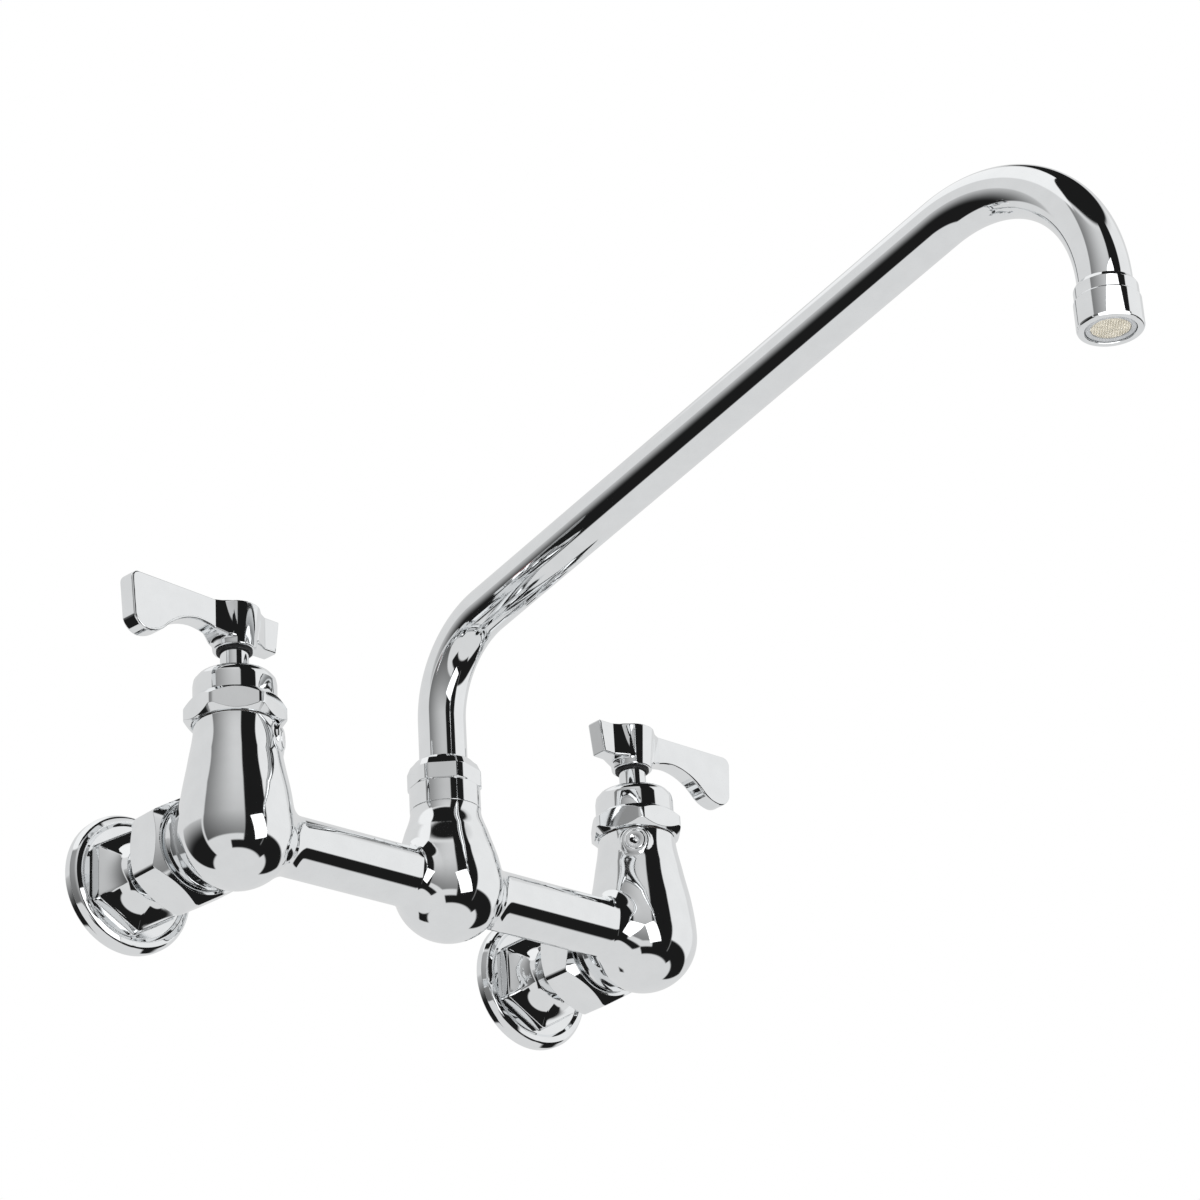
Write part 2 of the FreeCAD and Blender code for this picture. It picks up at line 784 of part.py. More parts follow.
def valve_stack(name, side, bonnet_corner):
    floor = D["chamber_floor"]
    valve_piece(f"seat_seal_{name}", side, ring_profile(D["seal_inner_radius"], D["seal_outer_radius"],
                                                        floor, D["fixed_disc_level"]))
    ceramic_disc(f"fixed_disc_{name}", side, D["fixed_disc_level"], D["moving_disc_level"], 0.0)
    ceramic_disc(f"moving_disc_{name}", side, D["moving_disc_level"], D["drive_level"], 90.0)
    cartridge_sleeve(name, side)
    spindle(name, side)
    spindle_clip(name, side)
    spindle_oring(name, side)
    valve_piece(f"bonnet_gasket_{name}", side, ring_profile(D["bonnet_thread_radius"] + 0.2,
                                                            D["valve_neck_radius"] - 0.5,
                                                            D["seam_level"], D["bonnet_hex_level"]))
    valve_bonnet(name, side, bonnet_corner)


# ---------------------------------------------------------------- handles

def blade_outline():
    """Side view of the lever, along the blade and up: a short stub, a hollow underside that sweeps
    down to a rounded tail, and a straight top."""
    top = D["handle_top_level"]
    tip = D["blade_length"]
    return [
        (-20.0, top),
        (-18.2, top - 13.9),
        (-8.0, top - 14.2),
        (8.0, top - 14.4),
        (20.5, top - 11.2, -24.0),
        (36.0, top - 18.3, -24.0),
        (45.5, top - 23.0, 14.0),
        (tip - 1.2, top - 18.2, 7.4),
        (tip, top - 3.4),
        (tip - 3.4, top, 3.4),
    ]


def plan_outline():
    """Top view of the lever: a flat blade that swells through two hollow curves into a round hub."""
    half = D["blade_thickness"] / 2
    hub = D["hub_bottom_radius"]
    blend = D["blade_blend"]
    tip = D["blade_length"] + 5
    blend_x = root((hub + blend) * (hub + blend) - (half + blend) * (half + blend))
    share = hub / (hub + blend)
    touch_x = blend_x * share
    touch_y = (half + blend) * share
    return [
        (tip, half),
        (blend_x, half),
        (touch_x, touch_y, -blend),
        (-touch_x, touch_y, hub),
        (-blend_x, half, -blend),
        (-tip, half),
        (-tip, -half),
        (-blend_x, -half),
        (-touch_x, -touch_y, -blend),
        (touch_x, -touch_y, hub),
        (blend_x, -half, -blend),
        (tip, -half),
    ]


def handle(name, side, turn):
    """Lever handle: a flared round hub on a flat blade, with a socket for the spindle below and a
    recess for the index button on top."""
    side_view = new_body(f"handle_side_{name}")
    side_sketch = new_sketch(side_view, "XZ_Plane")
    draw_path(side_sketch, blade_outline())
    side_pad = side_view.newObject("PartDesign::Pad", f"handle_side_{name}_pad")
    side_pad.Profile = side_sketch
    side_pad.Midplane = True
    bind(side_pad, "Length", D["hub_top_radius"] * 3)
    plan_view = new_body(f"handle_plan_{name}")
    plan_sketch = new_sketch(plan_view, "XY_Plane", D["handle_level"] - 10)
    draw_path(plan_sketch, plan_outline())
    plan_pad = plan_view.newObject("PartDesign::Pad", f"handle_plan_{name}_pad")
    plan_pad.Profile = plan_sketch
    bind(plan_pad, "Length", D["handle_top_level"])
    blade = doc.addObject("Part::Common", f"handle_blade_{name}")
    blade.Base = side_view
    blade.Tool = plan_view
    doc.recompute()
    hub = doc.addObject("Part::Cone", f"handle_hub_{name}")
    bind(hub, "Radius1", D["hub_bottom_radius"])
    bind(hub, "Radius2", D["hub_top_radius"])
    bind(hub, "Height", D["handle_top_level"] - D["handle_level"])
    bind(hub, ".Placement.Base.z", D["handle_level"])
    rough = fuse(f"handle_rough_{name}", [blade, hub])
    level = D["handle_level"]
    top = D["handle_top_level"]
    holes = [
        cylinder(f"socket_{name}", D["handle_socket_radius"], 3, ZERO, ZERO, level),
        cylinder(f"broach_bore_{name}", D["broach_radius"] + 0.1, D["broach_top_level"] - level + 0.2,
                 ZERO, ZERO, level),
        cylinder(f"screw_hole_{name}", D["screw_radius"] + 0.2, top - level, ZERO, ZERO, level),
        cylinder(f"screw_seat_{name}", D["screw_head_radius"] + 0.4, 5, ZERO, ZERO, top - 4.3),
        cylinder(f"index_seat_{name}", D["index_radius"] + 0.1, 5, ZERO, ZERO, top - 1.6),
    ]
    lever = cut(f"handle_{name}", rough, fuse(f"handle_holes_{name}", holes))
    place(lever, tower_x(side), TOWER_Y, BAR_Z, Vector(0, 0, 1), turn)


def handle_screw(name, side):
    """Screw that holds the handle on the spindle, with a cross slot left plain."""
    head = D["screw_head_radius"]
    shank = D["screw_radius"]
    seat = D["handle_top_level"] - 4.3
    profile = [
        (ZERO, seat - 9),
        (shank, seat - 9),
        (shank, seat),
        (head, seat),
        (head, seat + 1.2),
        (head - 1.0, seat + 2.0, 1.4),
        (ZERO, seat + 2.0),
    ]
    body = valve_piece(f"handle_screw_{name}", side, profile)
    sketch = new_sketch(body, "XY_Plane", seat + 1.0)
    draw_path(sketch, [(-head, -0.4), (head, -0.4), (head, 0.4), (-head, 0.4)])
    slot = body.newObject("PartDesign::Pocket", body.Name + "_slot")
    slot.Profile = sketch
    slot.Reversed = True
    bind(slot, "Length", 2)
    doc.recompute()


def index_button(name, side):
    """Coloured button that covers the screw on top of the handle."""
    radius = D["index_radius"]
    low = D["handle_top_level"] - 1.5
    profile = [(ZERO, low), (radius, low), (radius, low + 1.6), (radius - 0.6, low + 2.2, 0.6),
               (ZERO, low + 2.2)]
    valve_piece(f"index_button_{name}", side, profile)


# ---------------------------------------------------------------- spout

def spout_path_points():
    """The spout's centre line as (forward, level): up, over a wide bend, along a rising run, over
    the top bend and down to the outlet. Bend ends carry the radius; both bends turn to the front."""
    angle = D["rise_angle"]
    low_bend = D["rise_bend_radius"]
    top_bend = D["outlet_bend_radius"]
    rise = D["rise_level"]
    run_start = (low_bend - low_bend * sine(angle), rise + low_bend * cosine(angle))
    bend_centre = D["spout_reach"] - top_bend
    run_end_forward = bend_centre - top_bend * sine(angle)
    slope = sine(angle) / cosine(angle)
    run_end_level = run_start[1] + (run_end_forward - run_start[0]) * slope
    outlet_level = run_end_level - top_bend * cosine(angle)
    return [
        (ZERO, D["tube_start_level"]),
        (ZERO, rise),
        (run_start[0], run_start[1], low_bend),
        (run_end_forward, run_end_level),
        (D["spout_reach"], outlet_level, top_bend),
        (D["spout_reach"], D["tube_end_level"]),
    ]


def spout_tube():
    """Bent round tube of constant section."""
    body = new_body("spout_tube")
    path = new_sketch(body, "YZ_Plane")
    draw_path(path, [(-step[0], step[1], *step[2:]) for step in spout_path_points()], closed=False)
    section = new_sketch(body, "XY_Plane", D["tube_start_level"])
    draw_circle(section, D["tube_radius"])
    draw_circle(section, D["tube_radius"] - D["tube_wall"])
    doc.recompute()
    tube = body.newObject("PartDesign::AdditivePipe", "spout_tube_sweep")
    tube.Profile = section
    tube.Spine = path
    doc.recompute()
    place(body, ZERO, TOWER_Y, BAR_Z)


def spout_piece(label, profile):
    return turned_piece(label, profile, ZERO, TOWER_Y, BAR_Z)


def spout_shank():
    """Brass ferrule brazed to the tube's foot: two ring grooves below and a thrust collar on top."""
    outer = D["shank_radius"]
    groove = outer - 1.5
    start = D["tube_start_level"]
    bottom = D["socket_floor"] + 0.4
    collar = D["spout_thread_level"]
    profile = [(D["centre_bore_radius"], bottom), (outer, bottom)]
    for low in (bottom + 2.0, bottom + 6.6):
        profile += [(outer, low), (groove, low), (groove, low + 2.2), (outer, low + 2.2)]
    profile += [
        (outer, collar),
        (D["shank_collar_radius"], collar),
        (D["shank_collar_radius"], D["washer_level"]),
        (D["tube_radius"] + 0.02, D["washer_level"]),
        (D["tube_radius"] + 0.02, start),
        (D["centre_bore_radius"], start),
    ]
    spout_piece("spout_shank", profile)


def spout_orings():
    """The two rubber rings in the shank's grooves."""
    bottom = D["socket_floor"] + 0.4
    section = dim(0.76)
    rings = []
    for index, low in enumerate((bottom + 2.0, bottom + 6.6)):
        ring = doc.addObject("Part::Torus", f"spout_oring_{index}")
        bind(ring, "Radius1", D["socket_radius"] - section - 0.02)
        bind(ring, "Radius2", section)
        place(ring, ZERO, TOWER_Y, level_z(low + 1.1))
        rings.append(ring)
    pair = doc.addObject("Part::Compound", "spout_orings")
    pair.Label = "spout_orings"
    pair.Links = rings


def spout_washer():
    profile = ring_profile(D["tube_radius"] + 0.2, D["shank_collar_radius"], D["washer_level"],
                           D["washer_top_level"])
    spout_piece("spout_washer", profile)


def spout_nut():
    """Swivel nut: plain skirt below, small-flatted ring above, rounded shoulder."""
    low = D["spout_nut_level"]
    mid = D["spout_nut_hex_level"]
    top = D["spout_nut_top_level"]
    skirt = D["spout_nut_radius"]
    ring = D["spout_nut_hex_corner"]
    mouth = D["spout_nut_mouth"]
    thread = D["spout_thread_radius"] + 0.15
    ceiling = D["washer_top_level"]
    profile = [
        (thread, low),
        (skirt - 0.3, low),
        (skirt, low + 0.3),
        (skirt, mid - 0.5),
        (ring, mid, 0.8),
        (ring, top - 4.6),
        (ring - 3.6, top - 0.3, 4.6),
        (mouth + 0.4, top),
        (mouth, top - 0.4),
        (mouth, ceiling),
        (thread, ceiling),
    ]
    body = new_body("spout_nut")
    revolve(body, profile)
    mill_hexagon(body, D["spout_nut_flats"], 17.0, mid, top, ring + 2)
    place(body, ZERO, TOWER_Y, BAR_Z)


# ---------------------------------------------------------------- aerator

def outlet_piece(label, profile):
    """A turned piece on the outlet's axis."""
    return turned_piece(label, profile, ZERO, TOWER_Y - D["spout_reach"], BAR_Z)


def aerator_housing():
    """Chromed sleeve screwed on the tube's end, with a stepped shoulder and a turned-in mouth."""
    outer = D["aerator_radius"]
    top = D["aerator_top_level"]
    low = D["aerator_outlet_level"]
    bore = D["aerator_bore_radius"]
    mouth = D["aerator_mouth_radius"]
    profile = [
        (mouth, low),
        (outer - 1.0, low),
        (outer, low + 1.0, 1.0),
        (outer, top - 6.6),
        (outer - 0.5, top - 6.1),
        (outer - 0.5, top - 1.8),
        (bore + 0.3, top),
        (bore, top - 0.3),
        (bore, low + 1.4),
        (mouth, low + 1.4),
    ]
    outlet_piece("aerator_housing", profile)


def aerator_inner_parts():
    low = D["aerator_outlet_level"] + 1.4
    insert = D["insert_radius"]
    screen = D["screen_radius"]
    top = D["tube_end_level"] - 1.6
    profile = [
        (screen - 0.7, low - 0.9),
        (D["aerator_mouth_radius"] - 0.2, low - 0.9),
        (D["aerator_mouth_radius"] - 0.2, low),
        (insert, low),
        (insert, top),
        (screen - 0.7, top),
    ]
    outlet_piece("aerator_insert", profile)
    outlet_piece("aerator_screen", [(ZERO, low + 0.2), (screen - 0.8, low + 0.2),
                                    (screen - 0.8, low + 0.8), (ZERO, low + 0.8)])
    outlet_piece("aerator_washer", ring_profile(screen - 1.2, insert, top, D["tube_end_level"]))


# ---------------------------------------------------------------- assembly

def build():
    faucet_casting()
    bonnet_corners = {"left": 17.0, "right": 47.0}
    handle_turns = {"left": D["handle_turn_left"].number, "right": 0.0}
    for name, side in SIDES:
        boss_plug(name, side)
        wall_flange(name, side)
        coupling_nut(name, side)
        inlet_washer(name, side)
        valve_stack(name, side, bonnet_corners[name])
        handle(name, side, handle_turns[name])
        handle_screw(name, side)
        index_button(name, side)
    spout_tube()
    spout_shank()
    spout_orings()
    spout_washer()
    spout_nut()
    aerator_housing()
    aerator_inner_parts()


def node_names():
    """The finished sub-parts, each written to a file of its own."""
    names = ["faucet_body", "spout_tube", "spout_shank", "spout_orings", "spout_washer", "spout_nut",
             "aerator_housing", "aerator_insert", "aerator_screen", "aerator_washer"]
    paired = ["boss_plug", "wall_flange", "coupling_nut", "inlet_washer", "seat_seal", "fixed_disc",
              "moving_disc", "cartridge_sleeve", "spindle", "spindle_clip", "spindle_oring",
              "bonnet_gasket", "valve_bonnet", "handle", "handle_screw", "index_button"]
    return names + [f"{piece}_{name}" for piece in paired for name, _ in SIDES]


def check_and_write():
    doc.recompute()
    for item in doc.Objects:
        if "Invalid" in item.State or "Error" in item.State:
            raise RuntimeError(f"{item.Label} failed to rebuild: {item.State}")
    os.makedirs("parts", exist_ok=True)
    pieces = {item.Label: item for item in doc.Objects}
    for name in node_names():
        shape = pieces[name].Shape
        if shape.isNull() or not shape.isValid() or not shape.Solids:
            raise RuntimeError(f"{name} has no valid solid")
        shape.exportStep(f"parts/{name}.step")
        print(f"{name}: {len(shape.Solids)} solid, {shape.Volume:.0f} mm3")


build()
check_and_write()
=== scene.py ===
"""Looks of the wall-mounted mixing faucet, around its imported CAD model.

Shapes are worked out in millimetres in the model's frame and written in metres. Levels are heights
above the axis of the bridge bar, and depths are distances from the wall.
"""
import json
import math

import bmesh
import bpy
import numpy as np
from mathutils import Matrix, Vector


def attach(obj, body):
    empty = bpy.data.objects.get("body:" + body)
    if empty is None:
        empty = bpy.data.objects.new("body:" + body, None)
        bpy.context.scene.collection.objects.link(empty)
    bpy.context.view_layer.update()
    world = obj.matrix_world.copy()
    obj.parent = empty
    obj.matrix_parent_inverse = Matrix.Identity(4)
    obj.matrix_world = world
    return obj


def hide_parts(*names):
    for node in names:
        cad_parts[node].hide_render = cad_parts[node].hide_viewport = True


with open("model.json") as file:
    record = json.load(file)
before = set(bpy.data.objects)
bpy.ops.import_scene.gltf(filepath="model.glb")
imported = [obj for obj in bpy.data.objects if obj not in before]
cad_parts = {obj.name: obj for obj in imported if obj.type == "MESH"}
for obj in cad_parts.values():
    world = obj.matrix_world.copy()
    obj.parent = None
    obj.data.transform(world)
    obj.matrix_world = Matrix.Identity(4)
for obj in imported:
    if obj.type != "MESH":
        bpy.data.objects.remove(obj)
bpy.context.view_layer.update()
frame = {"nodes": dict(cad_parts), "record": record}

MM = 0.001
HALF_SPACING = 101.6
TOWER_Y = -72.0
BAR_Z = -2.0
SIDES = (("left", -1), ("right", 1))
CORNER_STEPS = 4


# ---------------------------------------------------------------- mesh building

def make_piece(name, verts, faces, body, replaces=(), slot=None, normals=None, weighted=True):
    """A smooth-shaded piece from points in millimetres; it rides on a body, and the CAD nodes it replaces are
    hidden.
    """
    mesh = bpy.data.meshes.new(name)
    mesh.from_pydata((np.asarray(verts) * MM).tolist(), [], faces)
    mesh.polygons.foreach_set("use_smooth", [True] * len(mesh.polygons))
    mesh.update()
    if normals is not None:
        mesh.normals_split_custom_set_from_vertices(normals.tolist())
    piece = bpy.data.objects.new(name, mesh)
    bpy.context.scene.collection.objects.link(piece)
    if normals is None and weighted:
        modifier = piece.modifiers.new("even_normals", "WEIGHTED_NORMAL")
        modifier.keep_sharp = True
        modifier.weight = 100
    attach(piece, body)
    if replaces:
        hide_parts(*replaces)
    return piece


def soften(points):
    """Rounds the corners of a profile. A point is (r, z) or (r, z, corner radius)."""
    given = [tuple(point) for point in points]
    places = [np.array(point[:2], float) for point in given]
    rounded = []
    count = len(places)
    for index in range(count):
        radius = given[index][2] if len(given[index]) > 2 else 0.0
        corner = places[index]
        before, after = places[index - 1], places[(index + 1) % count]
        back, ahead = before - corner, after - corner
        back_length, ahead_length = np.linalg.norm(back), np.linalg.norm(ahead)
        if radius <= 0 or back_length < 1e-6 or ahead_length < 1e-6:
            rounded.append(corner)
            continue
        back, ahead = back / back_length, ahead / ahead_length
        between = math.acos(float(np.clip(back @ ahead, -1, 1)))
        reach = min(radius / max(math.tan(between / 2), 1e-3), back_length * 0.45, ahead_length * 0.45)
        start, end = corner + back * reach, corner + ahead * reach
        for step in range(CORNER_STEPS + 1):
            share = step / CORNER_STEPS
            rounded.append((1 - share) ** 2 * start + 2 * share * (1 - share) * corner + share ** 2 * end)
    return np.array(rounded)


def axis_matrix(origin, axis):
    """The turn that takes Z to the given axis, and the origin as an array, in millimetres."""
    turn = Vector((0, 0, 1)).rotation_difference(Vector(axis)).to_matrix()
    return np.array(turn), np.array(origin, float)


def turned(name, profile_at, body, origin, axis, angles, **options):
    """A turned piece whose closed profile may change with the angle, as a hexagon's does."""
    rows = [profile_at(angle) for angle in angles]
    count = len(rows[0])
    points = []
    for angle, row in zip(angles, rows):
        points.append(np.stack([row[:, 0] * math.cos(angle), row[:, 0] * math.sin(angle), row[:, 1]], 1))
    turn, place = axis_matrix(origin, axis)
    verts = np.concatenate(points) @ turn.T + place
    faces = []
    total = len(angles)
    for ring in range(total):
        following = (ring + 1) % total
        for step in range(count):
            ahead = (step + 1) % count
            faces.append((ring * count + step, following * count + step,
                          following * count + ahead, ring * count + ahead))
    return make_piece(name, verts, faces, body, **options)


def turned_round(name, points, body, origin, axis=(0, 0, 1), segments=160, **options):
    """A turned piece with the same closed profile all round."""
    profile = soften(points)
    angles = np.linspace(0, 2 * math.pi, segments + 1)[:-1]
    return turned(name, lambda angle: profile, body, origin, axis, angles, **options)


def flat_distance(angle, flats, first_corner):
    """Distance from the axis to a hexagon's side at that angle."""
    sector = math.radians(60)
    across = (angle - math.radians(first_corner)) % sector - sector / 2
    return flats / 2 / math.cos(across)


def smooth_least(first, second, blend):
    """The lesser of two numbers, with a rounded change-over."""
    overlap = max(blend - abs(first - second), 0.0) / blend
    return min(first, second) - overlap * overlap * blend / 4


def hexagon_angles(flats, corner_radius, first_corner):
    """Evenly spread angles, with extra ones where a flat meets the rounded corner."""
    angles = set(np.round(np.linspace(0, 360, 121)[:-1], 4))
    half_land = 30 - math.degrees(math.acos(min(flats / 2 / corner_radius, 1.0)))
    for step in range(6):
        for side in (-1, 1):
            middle = first_corner + 60 * step + side * half_land
            angles.update(np.round([(middle + extra) % 360 for extra in (-1.2, -0.5, 0, 0.5, 1.2)], 4))
    return np.radians(sorted(angles))


# ---------------------------------------------------------------- smooth solids from distances

def round_union(first, second, radius):
    """Union of two distance fields with a fillet of that radius."""
    inner = np.maximum(radius, np.minimum(first, second))
    return inner - np.hypot(np.maximum(radius - first, 0), np.maximum(radius - second, 0))


def round_common(first, second, radius):
    """Intersection of two distance fields with a rounded edge."""
    inner = np.minimum(-radius, np.maximum(first, second))
    return inner + np.hypot(np.maximum(radius + first, 0), np.maximum(radius + second, 0))


def outline_distance(px, py, outline):
    """Signed distance of points to a closed outline, negative inside."""
    best = np.full(px.shape, 1e9)
    inside = np.zeros(px.shape, bool)
    for (ax, ay), (bx, by) in zip(outline, np.roll(outline, -1, axis=0)):
        ex, ey = bx - ax, by - ay
        share = np.clip(((px - ax) * ex + (py - ay) * ey) / (ex * ex + ey * ey), 0, 1)
        best = np.minimum(best, (px - ax - share * ex) ** 2 + (py - ay - share * ey) ** 2)
        crosses = (ay > py) != (by > py)
        if ey != 0:
            inside ^= crosses & (px < ex * (py - ay) / ey + ax)
    return np.where(inside, -1, 1) * np.sqrt(best)


def skin(field, low, high, step):
    """Closed mesh of the field's zero surface: one point per crossed cell, then moved onto the surface."""
    axes = [np.arange(lo, hi + step, step) for lo, hi in zip(low, high)]
    grid = np.meshgrid(*axes, indexing="ij")
    values = field(*grid)
    shape = np.array(values.shape) - 1
    corners = [(i, j, k) for i in (0, 1) for j in (0, 1) for k in (0, 1)]
    stacked = [values[i:i + shape[0], j:j + shape[1], k:k + shape[2]] < 0 for i, j, k in corners]
    total = sum(block.astype(int) for block in stacked)
    crossed = (total > 0) & (total < 8)
    index = np.full(shape, -1)
    cells = np.argwhere(crossed)
    index[crossed] = np.arange(len(cells))
    verts = np.array(low) + (cells + 0.5) * step

    faces = []
    for axis in range(3):
        one, two = (axis + 1) % 3, (axis + 2) % 3
        start = [slice(None)] * 3
        end = [slice(None)] * 3
        start[axis], end[axis] = slice(0, -1), slice(1, None)
        change = (values[tuple(start)] < 0).astype(int) - (values[tuple(end)] < 0).astype(int)
        places = np.argwhere(change != 0)
        signs = change[change != 0]
        keep = (places[:, one] > 0) & (places[:, two] > 0)
        keep &= (places[:, one] < shape[one]) & (places[:, two] < shape[two])
        places, signs = places[keep], signs[keep]
        ring = []
        for back_one, back_two in ((0, 0), (1, 0), (1, 1), (0, 1)):
            cell = places.copy()
            cell[:, one] -= back_one
            cell[:, two] -= back_two
            ring.append(index[tuple(cell.T)])
        quads = np.stack(ring, 1)
        quads[signs < 0] = quads[signs < 0][:, ::-1]
        faces.append(quads)
    quads = np.concatenate(faces)
    quads = quads[(quads >= 0).all(1)]

    for turn in range(8):
        slope, value = gradient(field, verts)
        size = np.maximum((slope ** 2).sum(1), 1e-6)
        verts = verts - slope * (value / size)[:, None]
        if turn < 4:
            verts = even_out(verts, quads, slope / np.sqrt(size)[:, None])
    slope, value = gradient(field, verts)
    normals = slope / np.linalg.norm(slope, axis=1)[:, None]
    return verts, quads, normals


def gradient(field, points):
    """Slope of a distance field at the points, and its value there."""
    reach = 0.02
    x, y, z = points.T
    slope = np.stack([field(x + reach, y, z) - field(x - reach, y, z),
                      field(x, y + reach, z) - field(x, y - reach, z),
                      field(x, y, z + reach) - field(x, y, z - reach)], 1) / (2 * reach)
    return slope, field(x, y, z)


def even_out(verts, quads, normals):
    """Moves each point along the surface towards the middle of its neighbours."""
    total = np.zeros_like(verts)
    count = np.zeros(len(verts))
    for first, second in ((0, 1), (1, 2), (2, 3), (3, 0)):
        for here, there in ((first, second), (second, first)):
            np.add.at(total, quads[:, here], verts[quads[:, there]])
            np.add.at(count, quads[:, here], 1)
    shift = total / np.maximum(count, 1)[:, None] - verts
    shift -= normals * (shift * normals).sum(1)[:, None]
    return verts + shift * 0.5


def trim_mesh(verts, quads, planes):
    """Cuts away what lies beyond each plane: (point, normal, which faces it cuts, by their middle)."""
    work = bmesh.new()
    made = [work.verts.new(point) for point in verts]
    for quad in quads:
        if len(set(quad)) == 4:
            work.faces.new([made[corner] for corner in quad])
    for point, normal, belongs in planes:
        chosen = [face for face in work.faces if belongs(face.calc_center_median())]
        geometry = dict.fromkeys(chosen)
        for face in chosen:
            geometry.update(dict.fromkeys([*face.edges, *face.verts]))
        bmesh.ops.bisect_plane(work, geom=list(geometry), dist=1e-5, plane_co=point, plane_no=normal,
                               clear_outer=True)
    loose = [vert for vert in work.verts if not vert.link_faces]
    bmesh.ops.delete(work, geom=loose, context="VERTS")
    work.verts.index_update()
    points = np.array([vert.co[:] for vert in work.verts])
    faces = [[vert.index for vert in face.verts] for face in work.faces]
    work.free()
    return points, faces


# ---------------------------------------------------------------- materials

def node_material(name):
    material = bpy.data.materials.new(name)
    material.use_nodes = True
    nodes = material.node_tree.nodes
    shader = nodes["Principled BSDF"]
    place = nodes.new("ShaderNodeTexCoord")
    return material, material.node_tree, shader, place


def noise_node(tree, place, scale, detail=3.0, roughness=0.5):
    noise = tree.nodes.new("ShaderNodeTexNoise")
    noise.inputs["Scale"].default_value = scale
    noise.inputs["Detail"].default_value = detail
    noise.inputs["Roughness"].default_value = roughness
    tree.links.new(place.outputs["Object"], noise.inputs["Vector"])
    return noise


def ramp_node(tree, source, low, high):
    ramp = tree.nodes.new("ShaderNodeValToRGB")
    for element, position, colour in zip(ramp.color_ramp.elements, (0.35, 0.65), (low, high)):
        element.position = position
        element.color = (*colour, 1)
    tree.links.new(source, ramp.inputs["Fac"])
    return ramp


def range_node(tree, source, low, high):
    scaled = tree.nodes.new("ShaderNodeMapRange")
    scaled.inputs["From Min"].default_value = 0.3
    scaled.inputs["From Max"].default_value = 0.7
    scaled.inputs["To Min"].default_value = low
    scaled.inputs["To Max"].default_value = high
    tree.links.new(source, scaled.inputs["Value"])
    return scaled


def bump_node(tree, source, shader, strength, distance, after=None):
    bump = tree.nodes.new("ShaderNodeBump")
    bump.inputs["Strength"].default_value = strength
    bump.inputs["Distance"].default_value = distance
    tree.links.new(source, bump.inputs["Height"])
    if after:
        tree.links.new(after.outputs["Normal"], bump.inputs["Normal"])
    tree.links.new(bump.outputs["Normal"], shader.inputs["Normal"])
    return bump


CHROME_TINT = (0.91, 0.925, 0.935)


def chrome_material(name, waviness, smear):
    """Chrome plate: faint waves from polishing, hair scratches and thin smears in the gloss."""
    material, tree, shader, place = node_material(name)
    shader.inputs["Metallic"].default_value = 1.0
    wide = noise_node(tree, place, 38.0, 2.0)
    fine = noise_node(tree, place, 900.0, 4.0, 0.6)
    worn = noise_node(tree, place, 120.0, 5.0, 0.6)
    tone = ramp_node(tree, worn.outputs["Fac"], [part * 0.965 for part in CHROME_TINT], CHROME_TINT)
    tree.links.new(tone.outputs["Color"], shader.inputs["Base Color"])
    gloss = range_node(tree, worn.outputs["Fac"], 0.018, smear)
    tree.links.new(gloss.outputs["Result"], shader.inputs["Roughness"])
    waves = bump_node(tree, wide.outputs["Fac"], shader, waviness, 0.0004)
    bump_node(tree, fine.outputs["Fac"], shader, 0.02, 0.00001, waves)
    return material


def plain_material(name, low, high, metallic, rough_low, rough_high, scale, bump):
    """A material whose colour is mottled between two tones, with a finer grain in gloss and bump."""
    material, tree, shader, place = node_material(name)
    shader.inputs["Metallic"].default_value = metallic
    mottle = noise_node(tree, place, scale, 4.0, 0.6)
    grain = noise_node(tree, place, scale * 9, 3.0, 0.6)
    tone = ramp_node(tree, mottle.outputs["Fac"], low, high)
    tree.links.new(tone.outputs["Color"], shader.inputs["Base Color"])
    gloss = range_node(tree, grain.outputs["Fac"], rough_low, rough_high)
    tree.links.new(gloss.outputs["Result"], shader.inputs["Roughness"])
    bump_node(tree, grain.outputs["Fac"], shader, bump, 0.0001)
    return material


CHROME = chrome_material("chrome_polished", 0.02, 0.06)
CAST_CHROME = chrome_material("chrome_casting", 0.06, 0.07)
BRASS = plain_material("machined_brass", (0.62, 0.44, 0.18), (0.78, 0.60, 0.30), 1.0, 0.2, 0.4, 150, 0.1)
STEEL = plain_material("stainless", (0.52, 0.50, 0.46), (0.66, 0.64, 0.60), 1.0, 0.25, 0.42, 220, 0.15)
MESH_STEEL = plain_material("screen_wire", (0.72, 0.68, 0.58), (0.88, 0.84, 0.74), 0.6, 0.4, 0.6, 400, 0.1)
CERAMIC = plain_material("alumina", (0.86, 0.85, 0.80), (0.95, 0.94, 0.90), 0.0, 0.25, 0.4, 120, 0.05)
RUBBER = plain_material("black_rubber", (0.012, 0.012, 0.013), (0.03, 0.03, 0.032), 0.0, 0.5, 0.7, 260, 0.3)
FIBRE = plain_material("pressed_fibre", (0.05, 0.035, 0.03), (0.10, 0.07, 0.05), 0.0, 0.6, 0.85, 300, 0.4)
GREY_PLASTIC = plain_material("grey_acetal", (0.33, 0.34, 0.35), (0.42, 0.43, 0.44), 0.0, 0.35, 0.5, 160, 0.1)
HOT_PLASTIC = plain_material("hot_index", (0.5, 0.015, 0.012), (0.62, 0.03, 0.025), 0.0, 0.12, 0.2, 90, 0.05)
COLD_PLASTIC = plain_material("cold_index", (0.012, 0.06, 0.42), (0.02, 0.1, 0.55), 0.0, 0.12, 0.2, 90, 0.05)

SLOT_MATERIALS = {
    "chrome_cast": CAST_CHROME,
    "chrome_polished": CHROME,
    "bare_brass": BRASS,
    "steel": STEEL,
    "ceramic": CERAMIC,
    "black_rubber": RUBBER,
    "fibre": FIBRE,
    "grey_plastic": GREY_PLASTIC,
    "hot_index": HOT_PLASTIC,
    "cold_index": COLD_PLASTIC,
}


